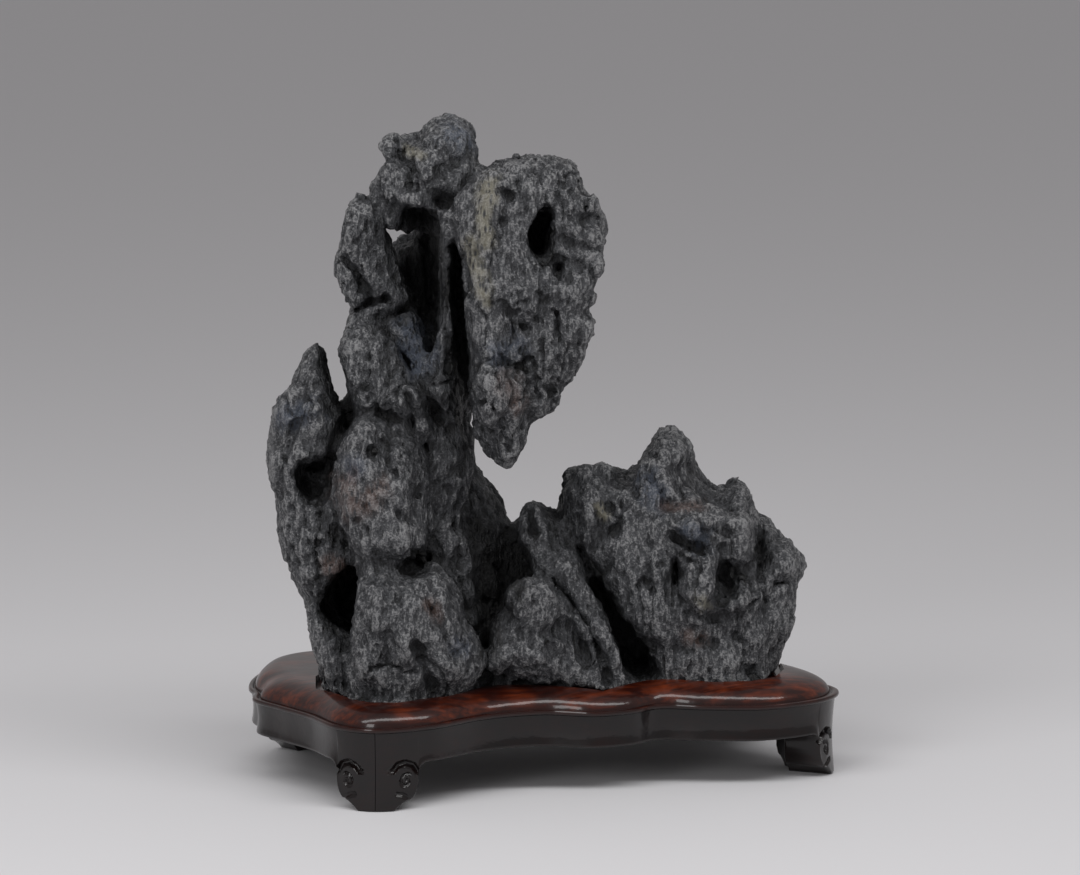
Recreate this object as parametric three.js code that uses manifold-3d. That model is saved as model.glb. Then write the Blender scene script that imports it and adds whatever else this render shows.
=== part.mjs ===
// A scholar's rock: a dark, fretted limestone standing in a carved hardwood stand with four scroll feet.
// Millimetres, +Z up. The origin is on the floor under the middle of the stand, +X runs along the stand's
// long side, and the front of the stone and of the stand faces -Y.
import * as THREE from 'three';
import { mergeVertices } from 'three/addons/utils/BufferGeometryUtils.js';
import Module from 'manifold-3d';

const wasm = await Module();
wasm.setup();

// Driving dimensions of the stand
const LIP_UNDER = 40.5;
const LIP_EDGE = 43;
const CREST = 52.5;
const DOME_WIDTH = 26;
const GAP = 0.3;
const APRON_TOP = LIP_UNDER - GAP;
const APRON_BOTTOM = 24;
const APRON_INSET = 2;
const APRON_THICK = 9;
const FOOT_THICK = 25;
const STAND_SIDES = 60;

// Driving dimensions of the stone. Its own axes are seen from the front: x right, y away, z up
const STONE_TURN = THREE.MathUtils.degToRad(-19);
const STONE_PLACE = [0, -8, 0];
const STONE_BASE = 49;
const BASE_FILL = 52.8;
const FLARE_FROM = 54.5;
const BASE_FLARE = 1.2;
const STONE_MIN = [-152, -96, STONE_BASE - 7];
const STONE_MAX = [148, 92, 352];
const STONE_GRID = 4;
const STONE_TRIANGLES = 6600;
const TRIM = 0.7;
const SOCKET_CLEARANCE = 1.6;

// How the stone's surface is worn: the size and depth of its hollows and knobs, the size of its fine waves,
// and how far its forms are bent out of true by large and small bends
const HOLLOW_WIDE = 15;
const HOLLOW_TALL = 22;
const HOLLOW_DEPTH = 4.2;
const HOLLOW_RIM = 0.45;
const KNOB_WIDE = 30;
const KNOB_TALL = 42;
const KNOB_HEIGHT = 4.5;
const KNOB_CREASE = 0.4;
const CELL_EDGE = 0.9;
const WAVE_WIDE = 9;
const WAVE_TALL = 13;
const BEND_SIZE = 26;
const BEND_DEPTH = 2.4;
const SMALL_BEND_SIZE = 11;
const SMALL_BEND_DEPTH = 1.3;
const CLEFT_BEND = 0.3;

// The masses of the stone. Each is a slab seen from the front as an outline of [x, z] points. It lies at a
// depth y, is half as thick as "half" says, has edges rounded by "round", leans back by "lean" per mm of
// height and turns away by "swing" per mm to the right. "blend" is the width of the crease to its neighbours
const masses = [
  { name: 'column', depth: 12, half: 28, round: 20, blend: 4, outline: [
    [-96, 240], [-90, 256], [-80, 265], [-70, 269], [-64, 275], [-61, 287], [-54, 303], [-26, 312],
    [-14, 280], [-20, 222], [-32, 192], [-37, 184], [-33, 160], [-22, 143], [-14, 130], [-17, 100], [-16, 40],
    [-103, 40], [-103, 88], [-100, 140], [-100, 185], [-101, 222]] },
  { name: 'ridge slab', depth: -26, half: 18, round: 5, lean: -0.05, swing: 0.1, blend: 3, outline: [
    [-48, 299], [-50, 262], [-50, 220], [-56, 186], [-56, 150], [-54, 122], [-47, 96], [-43, 44],
    [-25, 44], [-27, 66], [-33, 100], [-36, 136], [-33, 148], [-33, 168], [-36, 190], [-39, 240],
    [-41, 299]] },
  { name: 'flank', depth: -22, half: 32, round: 24, lean: 0.05, swing: -0.12, blend: 4, outline: [
    [-111, 228], [-118, 219], [-122, 208], [-128, 200], [-134, 190], [-138, 180], [-139, 168],
    [-138, 150], [-134, 138], [-129, 118], [-121, 96], [-118, 80], [-112, 70], [-98, 72], [-101, 95],
    [-94, 118], [-95, 196], [-104, 214], [-107, 222]] },
  { name: 'belly', depth: -50, half: 26, round: 21, swing: 0.15, blend: 3, outline: [
    [-97, 186], [-92, 192], [-82, 194], [-70, 192], [-62, 187], [-57, 178], [-55, 152], [-53, 130],
    [-58, 118], [-67, 113], [-79, 119], [-89, 116], [-96, 122], [-103, 142], [-104, 164]] },
  { name: 'front foot', depth: -55, half: 30, round: 20, lean: -0.16, swing: 0.2, blend: 3, outline: [
    [-89, 111], [-79, 117], [-70, 112], [-59, 114], [-53, 119], [-46, 113], [-38, 92], [-29, 67],
    [-27, 53], [-45, 44], [-87, 44], [-91, 54], [-94, 67], [-92, 96]] },
  { name: 'left toe', depth: -38, half: 22, round: 12, blend: 3, outline: [
    [-111, 76], [-105, 80], [-98, 80], [-93, 76], [-94, 63], [-90, 44], [-112, 44], [-113, 63]] },
  { name: 'under flank', depth: -26, half: 24, round: 10, blend: 3, outline: [
    [-119, 94], [-112, 102], [-103, 104], [-98, 94], [-101, 73], [-112, 68], [-117, 81]] },
  { name: 'shoulder', depth: -34, half: 22, round: 15, lean: 0.12, swing: 0.12, blend: 3, outline: [
    [-103, 227], [-97, 233], [-96, 239], [-86, 248], [-79, 244], [-71, 232], [-64, 213], [-59, 207],
    [-55, 194], [-57, 184], [-69, 182], [-90, 187], [-97, 206]] },
  { name: 'second slab', depth: -24, half: 18, round: 6, lean: 0.08, swing: 0.1, blend: 2, outline: [
    [-79, 246], [-70, 241], [-62, 240], [-54, 218], [-47, 192], [-49, 181], [-57, 185], [-60, 202],
    [-70, 226]] },
  { name: 'fin', depth: -30, half: 15, round: 9, lean: -0.1, swing: 0.3, blend: 3, outline: [
    [-89, 306], [-96, 298], [-99, 282], [-102, 263], [-96, 250], [-88, 243], [-73, 243], [-63, 250],
    [-64, 260], [-68, 274], [-74, 283], [-78, 294]] },
  { name: 'crown', depth: -12, half: 33, round: 20, blend: 4, outline: [
    [-48, 340], [-56, 337], [-59, 332], [-67, 330], [-74, 328], [-78, 318], [-83, 311], [-84, 302],
    [-79, 294], [-73, 285], [-64, 284], [-54, 293], [-40, 297], [-28, 299], [-26, 310], [-31, 318],
    [-30, 325], [-33, 335], [-39, 340]] },
  { name: 'lobe', depth: -36, half: 31, round: 20, swing: 0.22, blend: 4, outline: [
    [-38, 306], [-30, 314], [-18, 318], [-14, 324], [-6, 325], [-2, 322], [12, 322], [19, 319],
    [22, 311], [31, 301], [35, 286], [32, 278], [34, 269], [28, 248], [31, 238], [27, 228], [17, 216],
    [10, 206], [9, 198], [4, 193], [-3, 193], [-6, 180], [-11, 167], [-21, 167], [-29, 182], [-35, 220],
    [-39, 289]] },
  { name: 'lobe back', depth: 2, half: 30, round: 22, blend: 5, outline: [
    [-34, 307], [-16, 317], [12, 316], [27, 297], [30, 272], [25, 246], [14, 225], [-3, 222], [-24, 235],
    [-35, 272]] },
  { name: 'recess', depth: 22, half: 24, round: 12, blend: 4, outline: [
    [-38, 142], [-24, 134], [-15, 121], [-9, 131], [10, 126], [30, 112], [60, 76], [70, 37], [-38, 37]] },
  { name: 'wedge', depth: -18, half: 18, round: 7, lean: 0.15, blend: 2, outline: [
    [-4, 146], [1, 147], [5, 142], [13, 130], [22, 112], [34, 88], [46, 62], [51, 44], [36, 44],
    [32, 60], [17, 91], [8, 102], [-3, 106], [-8, 116], [-9, 127], [-7, 138]] },
  { name: 'front boulder', depth: -32, half: 25, round: 19, lean: -0.2, swing: 0.25, blend: 2, outline: [
    [-7, 111], [2, 108], [10, 101], [20, 84], [31, 62], [35, 44], [-26, 44], [-26, 64], [-22, 80],
    [-14, 100]] },
  { name: 'right mass', depth: 13, half: 43, round: 28, lean: 0.08, swing: 0.12, blend: 4, outline: [
    [15, 128], [14, 140], [15, 152], [19, 156], [28, 153], [36, 157], [44, 152], [51, 156], [57, 164],
    [61, 174], [66, 177], [79, 173], [81, 162], [84, 154], [90, 146], [96, 143], [102, 145], [106, 148],
    [111, 144], [115, 133], [117, 112], [122, 85], [126, 62], [126, 38], [62, 38], [57, 56], [42, 76],
    [30, 96], [22, 112]] },
  { name: 'right slice', depth: 18, half: 31, round: 16, blend: 2, outline: [
    [118, 130], [127, 118], [137, 105], [133, 97], [133, 78], [129, 68], [127, 38], [109, 38],
    [112, 90]] },
];

// Rounded lumps on the masses: centre x y z, radii across, in depth and up, sideways tilt in degrees
const lumps = [
  ['crown top', -43, -16, 331, 12, 16, 8, 0],
  ['crown left', -72, -30, 313, 11, 16, 15, 20],
  ['crown left top', -70, -22, 325, 8, 12, 6, 0],
  ['crown middle', -53, -40, 316, 13, 12, 12, 0],
  ['crown brow', -63, -40, 304, 14, 10, 7, 20],
  ['crown right', -31, -30, 314, 6, 10, 8, 0],
  ['crown back', -54, 20, 311, 20, 16, 20, 0],
  ['tan column', -24, -60, 290, 9, 12, 34, 3],
  ['lobe left foot', -27, -58, 244, 8, 11, 26, 3],
  ['lobe top', -7, -34, 316, 12, 16, 8, 0],
  ['lobe top right', 12, -24, 311, 12, 18, 9, 0],
  ['lobe middle', -8, -58, 254, 14, 11, 22, 0],
  ['right knob 1', 25, -36, 294, 9, 15, 9, 0],
  ['right knob 2', 24, -36, 279, 9, 14, 8, 0],
  ['right knob 3', 26, -34, 266, 8, 14, 8, 0],
  ['right knob 4', 17, -44, 247, 8, 11, 16, 0],
  ['right knob 5', 24, -30, 235, 6, 12, 8, 0],
  ['right knob 6', 11, -40, 223, 8, 11, 12, 0],
  ['lobe nose', -18, -68, 212, 14, 11, 16, 8],
  ['lobe lip', -18, -66, 196, 11, 9, 6, 0],
  ['lobe tip', -17, -56, 178, 9, 12, 9, 0],
  ['lobe chin', 4, -36, 204, 7, 12, 11, 0],
  ['peak', 71, 12, 164, 9, 14, 13, 0],
  ['peak ridge', 64, -10, 150, 12, 14, 22, -12],
  ['brow', 79, -23, 133, 20, 12, 14, 0],
  ['brow fold', 84, -27, 121, 10, 10, 7, 0],
  ['second peak', 105, 10, 136, 8, 16, 12, 0],
  ['temple', 104, -19, 120, 9, 14, 18, 0],
  ['nose', 84, -31, 101, 9, 10, 17, 0],
  ['left cheek', 59, -21, 102, 14, 14, 20, 0],
  ['right cheek', 107, -21, 95, 10, 12, 11, 0],
  ['ledge', 87, -25, 88, 26, 12, 6, 0],
  ['slice cheek', 127, 16, 106, 8, 16, 12, 0],
  ['left ridge', 21, -4, 136, 7, 16, 20, 0],
  ['left ridge 2', 35, -13, 138, 8, 14, 20, -5],
  ['boulder face', -3, -52, 97, 16, 10, 12, 0],
  ['boulder left', -16, -52, 70, 9, 10, 16, 0],
  ['boulder right', 28, -36, 60, 7, 10, 14, -25],
  ['belly top', -85, -66, 181, 13, 11, 12, 0],
  ['belly middle', -69, -68, 163, 12, 9, 20, 0],
  ['belly left', -92, -68, 151, 9, 9, 20, 0],
  ['belly low', -76, -68, 133, 16, 10, 12, 0],
  ['foot left', -80, -70, 97, 11, 10, 20, -6],
  ['foot middle', -61, -72, 92, 9, 8, 24, -10],
  ['foot toe', -76, -72, 69, 14, 9, 14, 0],
  ['foot right', -38, -58, 79, 7, 9, 26, -14],
  ['curl', -67, -56, 203, 10, 8, 9, 0],
  ['curl right', -58, -50, 195, 4, 7, 12, -8],
  ['flank low', -107, -50, 119, 14, 9, 14, 0],
  ['flank middle', -126, -36, 184, 9, 14, 20, -6],
  ['flank back', -112, 14, 130, 20, 20, 44, -4],
  ['column back left', -82, 38, 150, 17, 18, 60, 0],
  ['column back right', -48, 40, 190, 16, 16, 52, 6],
  ['back foot', -70, 40, 74, 30, 20, 30, 0],
  ['back ledge', -44, 44, 118, 22, 14, 12, 0],
  ['neck back', -58, 34, 252, 18, 18, 26, 0],
  ['lobe back lump', 4, 28, 286, 20, 14, 24, 0],
  ['lobe back low', 2, 24, 246, 16, 14, 20, 0],
  ['saddle back', 2, 42, 82, 26, 18, 30, 0],
  ['mass back left', 46, 54, 110, 20, 18, 34, 0],
  ['mass back right', 96, 58, 96, 22, 16, 40, 0],
  ['mass back peak', 72, 44, 142, 12, 16, 22, 0],
];
const LUMP_BLEND = 3;

// Rounded hollows in the masses, given as the lumps are
const hollows = [
  ['neck hollow behind', -74, 66, 214, 14, 22, 24, 0],
  ['column hollow behind', -64, 72, 168, 9, 20, 26, 0],
  ['foot hollow behind', -90, 74, 104, 12, 20, 16, 0],
  ['lobe hollow behind', -20, 50, 266, 10, 18, 20, 0],
  ['saddle hollow behind', 24, 74, 68, 12, 20, 26, 0],
  ['mass hollow behind', 72, 88, 84, 10, 20, 26, 0],
  ['mass pit behind', 100, 86, 132, 10, 18, 10, 0],
  ['flank hollow at the side', -152, -16, 148, 14, 12, 18, 0],
  ['flank pit at the side', -138, 6, 100, 12, 10, 14, 0],
  ['slice hollow at the side', 146, 20, 78, 13, 14, 16, 0],
  ['lobe hollow at the side', 44, -18, 262, 12, 12, 12, 0],
  ['hollow under the lobe', 10, -10, 190, 14, 16, 14, 0],
];

// The foot of the stone in plan, [x, y], where it stands in its socket
const basePlan = [
  [-112, -20], [-111, -48], [-101, -60], [-92, -78], [-84, -85], [-70, -86], [-58, -77], [-46, -70],
  [-36, -58], [-27, -44], [-14, -40], [8, -42], [22, -47], [34, -50], [44, -40], [56, -28], [68, -25],
  [92, -31], [110, -29], [122, -20], [127, 0], [126, 24], [122, 42], [108, 53], [88, 52], [74, 43],
  [42, 38], [12, 49], [-15, 45], [-48, 38], [-54, 44], [-69, 52], [-85, 49], [-96, 38], [-101, 22],
];

// Clefts, pits and holes cut from the front as far back as "floor", seen as outlines from the front
const clefts = [
  { name: 'cave', floor: 3, round: 5, blend: 2, outline: [
    [-78, 290], [-69, 297], [-62, 299], [-55, 298], [-51, 292], [-50, 277], [-50, 233], [-54, 227],
    [-58, 232], [-70, 271], [-75, 279]] },
  { name: 'eye', floor: 200, round: 3, blend: 1, outline: [
    [-75, 284], [-62, 285], [-60, 279], [-63, 274], [-69, 273]] },
  { name: 'lobe slit', floor: -6, round: 1, blend: 1, outline: [
    [-43, 282], [-39, 285], [-32, 185], [-33, 178], [-38, 187], [-43, 254]] },
  { name: 'gully', floor: -36, round: 3, blend: 2, outline: [
    [-3, 292], [2, 299], [9, 299], [8, 290], [6, 277], [0, 276], [-4, 283]] },
  { name: 'small gully', floor: -38, round: 3, blend: 2, outline: [
    [10, 274], [14, 275], [16, 267], [12, 263], [8, 268]] },
  { name: 'left notch', floor: 10, round: 2, blend: 2, outline: [
    [-108, 226], [-103, 226], [-99, 212], [-93, 203], [-92, 196], [-98, 198], [-103, 207]] },
  { name: 'left hollow', floor: -28, round: 4, blend: 2, outline: [
    [-120, 168], [-110, 170], [-102, 168], [-103, 159], [-106, 149], [-114, 148], [-120, 156]] },
  { name: 'dark pit', floor: -22, round: 4, blend: 2, outline: [
    [-101, 115], [-94, 117], [-90, 112], [-90, 97], [-95, 87], [-101, 82], [-107, 86], [-109, 94],
    [-104, 102]] },
  { name: 'foot pit', floor: -54, round: 3, blend: 2, outline: [
    [-71, 121], [-63, 125], [-56, 123], [-58, 116], [-66, 112]] },
  { name: 'gap beside the wedge', floor: 10, round: 2, blend: 1, outline: [
    [12, 134], [17, 131], [31, 102], [49, 78], [57, 65], [64, 40], [52, 40], [48, 60], [40, 78],
    [26, 104]] },
  { name: 'left eye pit', floor: -22, round: 3, blend: 2, outline: [
    [68, 116], [75, 114], [76, 105], [73, 99], [68, 101]] },
  { name: 'right eye pit', floor: -22, round: 3, blend: 2, outline: [
    [94, 112], [103, 111], [104, 102], [100, 95], [93, 98]] },
];

// Repeatable random number between 0 and 1 for a lattice point
function chance(i, j, k, seed) {
  const wave = Math.sin(i * 127.1 + j * 311.7 + k * 74.7 + seed * 53.3) * 43758.5453;
  return wave - Math.floor(wave);
}

// Smooth noise between -1 and 1
function noise(x, y, z, seed) {
  const i = Math.floor(x);
  const j = Math.floor(y);
  const k = Math.floor(z);
  const ease = (t) => t * t * (3 - 2 * t);
  const u = ease(x - i);
  const v = ease(y - j);
  const w = ease(z - k);
  let sum = 0;
  for (let corner = 0; corner < 8; corner++) {
    const a = corner & 1;
    const b = (corner >> 1) & 1;
    const c = corner >> 2;
    const weight = (a ? u : 1 - u) * (b ? v : 1 - v) * (c ? w : 1 - w);
    sum += weight * chance(i + a, j + b, k + c, seed);
  }
  return sum * 2 - 1;
}

// Squared distance to the nearest of the points scattered one to a lattice cell
function scatter(x, y, z, seed) {
  const i = Math.floor(x);
  const j = Math.floor(y);
  const k = Math.floor(z);
  let nearest = Infinity;
  for (let a = i - 1; a <= i + 1; a++) {
    for (let b = j - 1; b <= j + 1; b++) {
      for (let c = k - 1; c <= k + 1; c++) {
        const dx = a + chance(a, b, c, seed) - x;
        const dy = b + chance(a, b, c, seed + 1) - y;
        const dz = c + chance(a, b, c, seed + 2) - z;
        nearest = Math.min(nearest, dx * dx + dy * dy + dz * dz);
      }
    }
  }
  return nearest;
}

// Smallest of two distances, with a soft crease
function smoothMin(a, b, width) {
  const h = THREE.MathUtils.clamp(0.5 + 0.5 * (b - a) / width, 0, 1);
  return b + (a - b) * h - width * h * (1 - h);
}

// Signed distance from a point to an outline, less than 0 inside
function outlineDistance(x, z, outline) {
  let nearest = Infinity;
  let inside = false;
  let [px, pz] = outline[outline.length - 1];
  for (const [qx, qz] of outline) {
    const ex = qx - px;
    const ez = qz - pz;
    const t = THREE.MathUtils.clamp(((x - px) * ex + (z - pz) * ez) / (ex * ex + ez * ez), 0, 1);
    nearest = Math.min(nearest, (x - px - ex * t) ** 2 + (z - pz - ez * t) ** 2);
    if ((qz > z) !== (pz > z) && x < (px - qx) * (z - qz) / (pz - qz) + qx) inside = !inside;
    px = qx;
    pz = qz;
  }
  return inside ? -Math.sqrt(nearest) : Math.sqrt(nearest);
}

// Distance to the corner between two faces, rounded by r
function roundedCorner(a, b, r) {
  const u = a + r;
  const v = b + r;
  return Math.hypot(Math.max(u, 0), Math.max(v, 0)) + Math.min(Math.max(u, v), 0) - r;
}

// Each outline's box, grown by the reach of its creases, so that far points skip it
const REACH = 14;
for (const shape of [...masses, ...clefts]) {
  const xs = shape.outline.map((p) => p[0]);
  const zs = shape.outline.map((p) => p[1]);
  shape.middle = [THREE.MathUtils.lerp(Math.min(...xs), Math.max(...xs), 0.5),
    THREE.MathUtils.lerp(Math.min(...zs), Math.max(...zs), 0.5)];
  shape.low = [Math.min(...xs) - REACH, Math.min(...zs) - REACH];
  shape.high = [Math.max(...xs) + REACH, Math.max(...zs) + REACH];
}
function near(shape, x, z) {
  return x > shape.low[0] && x < shape.high[0] && z > shape.low[1] && z < shape.high[1];
}

function massDistance(mass, x, y, z) {
  const lean = (mass.lean ?? 0) * (z - mass.middle[1]);
  const swing = (mass.swing ?? 0) * (x - mass.middle[0]);
  const across = outlineDistance(x, z, mass.outline);
  const through = Math.abs(y - mass.depth - lean - swing) - mass.half;
  return roundedCorner(across, through, mass.round);
}

function lumpDistance([, cx, cy, cz, rx, ry, rz, tilt], x, y, z) {
  const turn = THREE.MathUtils.degToRad(tilt);
  const dx = (x - cx) * Math.cos(turn) - (z - cz) * Math.sin(turn);
  const dz = (x - cx) * Math.sin(turn) + (z - cz) * Math.cos(turn);
  const dy = y - cy;
  const scaled = Math.hypot(dx / rx, dy / ry, dz / rz);
  const slope = Math.hypot(dx / (rx * rx), dy / (ry * ry), dz / (rz * rz));
  return scaled * (scaled - 1) / Math.max(slope, 1e-6);
}

// The weathered surface: hollows with sharp rims, lumps with sharp creases between them, and small waves
function weathering(x, y, z) {
  const hollow = Math.min(scatter(x / HOLLOW_WIDE, y / HOLLOW_WIDE, z / HOLLOW_TALL, 9), CELL_EDGE);
  const knob = Math.min(scatter(x / KNOB_WIDE, y / KNOB_WIDE, z / KNOB_TALL, 21), CELL_EDGE);
  const wave = noise(x / WAVE_WIDE, y / WAVE_WIDE, z / WAVE_TALL, 8);
  return (HOLLOW_RIM - hollow) * HOLLOW_DEPTH - (KNOB_CREASE - knob) * KNOB_HEIGHT + wave;
}

// Signed distance to the stone's surface, less than 0 inside the stone
function stoneDistance(x, y, z) {
  const bend = (size, seed) => noise(x / size, y / size, z / size, seed);
  const shift = [0, 1, 2].map((axis) => bend(BEND_SIZE, 1 + axis) * BEND_DEPTH
    + bend(SMALL_BEND_SIZE, 4 + axis) * SMALL_BEND_DEPTH);
  const [wx, wy, wz] = [x + shift[0], y + shift[1], z + shift[2]];
  let distance = 3 * REACH;
  for (const mass of masses) {
    if (near(mass, wx, wz)) distance = smoothMin(distance, massDistance(mass, wx, wy, wz), mass.blend);
  }
  for (const lump of lumps) {
    const beyond = [wx, wy, wz].map((value, axis) => Math.abs(value - lump[axis + 1]) - lump[axis + 4]);
    if (Math.max(...beyond) > REACH) continue;
    distance = smoothMin(distance, lumpDistance(lump, wx, wy, wz), LUMP_BLEND);
  }
  for (const hollow of hollows) {
    distance = -smoothMin(-distance, lumpDistance(hollow, wx, wy, wz), LUMP_BLEND);
  }
  distance += weathering(x, y, z) + TRIM;
  const [sx, sy, sz] = [x, y, z].map((value, axis) => value + shift[axis] * CLEFT_BEND);
  for (const cleft of clefts) {
    if (!near(cleft, sx, sz)) continue;
    const cut = -roundedCorner(outlineDistance(sx, sz, cleft.outline), sy - cleft.floor, cleft.round);
    distance = -smoothMin(-distance, -cut, cleft.blend);
  }
  const plan = outlineDistance(x, y, basePlan);
  distance = Math.max(distance, plan - BASE_FLARE * Math.max(z - FLARE_FROM, 0));
  distance = Math.min(distance, Math.max(plan, z - BASE_FILL));
  return Math.max(distance, STONE_BASE - z);
}

// Grid nodes joined to a first node through neighbours of the same kind
function flood(first, member, neighbours, length) {
  const reached = new Uint8Array(length);
  const queue = [first];
  reached[first] = 1;
  while (queue.length) {
    const id = queue.pop();
    for (const step of neighbours) {
      const next = id + step;
      if (next < 0 || next >= length || reached[next] || !member(next)) continue;
      reached[next] = 1;
      queue.push(next);
    }
  }
  return reached;
}

// Grid nodes that touch only across a face or a cube are joined, so that the skin is one closed sheet
function joinDiagonals(value, stride, nodes, filled) {
  const inside = (id) => value[id] < 0;
  const corners = [0, 1, 2, 3, 4, 5, 6, 7].map((c) => (c & 1) * stride[0] + ((c >> 1) & 1) * stride[1]
    + (c >> 2) * stride[2]);
  let changed = true;
  while (changed) {
    changed = false;
    const fill = (id) => {
      value[id] = filled;
      changed = true;
    };
    for (const id of nodes) {
      for (const [u, v] of [[stride[0], stride[1]], [stride[1], stride[2]], [stride[2], stride[0]]]) {
        const [a, b, c, d] = [id, id + u, id + v, id + u + v].map(inside);
        if (a && d && !b && !c) fill(id + u);
        if (b && c && !a && !d) fill(id);
      }
      const count = corners.filter((corner) => inside(id + corner)).length;
      for (let c = 0; c < 4; c++) {
        const [first, opposite] = [id + corners[c], id + corners[7 - c]];
        if (count === 2 && inside(first) && inside(opposite)) fill(id + corners[c ^ 1]);
        if (count === 6 && !inside(first) && !inside(opposite)) fill(first);
      }
    }
  }
}

// A closed skin over the space where the field is less than 0: one vertex in each grid cell that the
// surface crosses, and a four-sided face over each grid edge that it crosses
function skin(field, low, high, step) {
  const n = low.map((value, axis) => Math.ceil((high[axis] - value) / step) + 1);
  const stride = [1, n[0], n[0] * n[1]];
  const value = new Float64Array(n[0] * n[1] * n[2]).fill(1);
  const nodes = [];
  for (let k = 1; k < n[2] - 1; k++) {
    for (let j = 1; j < n[1] - 1; j++) {
      for (let i = 1; i < n[0] - 1; i++) {
        const id = i + j * stride[1] + k * stride[2];
        value[id] = field(low[0] + i * step, low[1] + j * step, low[2] + k * step);
        nodes.push(id);
      }
    }
  }
  const filled = -0.05 * step;
  joinDiagonals(value, stride, nodes, filled);

  // Only the body around the deepest node is kept, and bubbles that the outside doesn't reach are filled
  const around = [...stride, ...stride.map((s) => -s)];
  const deepest = nodes.reduce((best, id) => (value[id] < value[best] ? id : best));
  const body = flood(deepest, (id) => value[id] < 0, around, value.length);
  for (const id of nodes) if (value[id] < 0 && !body[id]) value[id] = step;
  const outside = flood(0, (id) => value[id] >= 0, around, value.length);
  for (const id of nodes) if (value[id] >= 0 && !outside[id]) value[id] = filled;

  const points = [];
  const vertexOf = new Map();
  const cellVertex = (cell) => {
    if (vertexOf.has(cell)) return vertexOf.get(cell);
    const sum = [0, 0, 0];
    let crossings = 0;
    for (let axis = 0; axis < 3; axis++) {
      const [u, v] = [(axis + 1) % 3, (axis + 2) % 3];
      for (const [a, b] of [[0, 0], [1, 0], [0, 1], [1, 1]]) {
        const from = cell + a * stride[u] + b * stride[v];
        const [start, end] = [value[from], value[from + stride[axis]]];
        if ((start < 0) === (end < 0)) continue;
        sum[axis] += start / (start - end);
        sum[u] += a;
        sum[v] += b;
        crossings++;
      }
    }
    const place = [cell % n[0], Math.floor(cell / stride[1]) % n[1], Math.floor(cell / stride[2])];
    points.push(place.map((index, axis) => low[axis] + (index + sum[axis] / crossings) * step));
    vertexOf.set(cell, points.length - 1);
    return points.length - 1;
  };
  const triangles = [];
  for (const id of nodes.filter((node) => value[node] < 0)) {
    for (let axis = 0; axis < 3; axis++) {
      const [u, v] = [stride[(axis + 1) % 3], stride[(axis + 2) % 3]];
      for (const from of [id, id - stride[axis]]) {
        const to = from === id ? id + stride[axis] : from;
        if (value[to] < 0) continue;
        const ring = [from - u - v, from - v, from, from - u].map(cellVertex);
        if (from !== id) ring.reverse();
        triangles.push([ring[0], ring[1], ring[2]], [ring[0], ring[2], ring[3]]);
      }
    }
  }
  return { points, triangles };
}

const minus = (a, b) => [a[0] - b[0], a[1] - b[1], a[2] - b[2]];
const dot = (a, b) => a[0] * b[0] + a[1] * b[1] + a[2] * b[2];
const cross = (a, b) => [a[1] * b[2] - a[2] * b[1], a[2] * b[0] - a[0] * b[2], a[0] * b[1] - a[1] * b[0]];

// The least cosine between a face before and after a change, and its least doubled area in square mm
const KEEP_FACING = 0.35;
const KEEP_AREA = 0.5;

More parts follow.
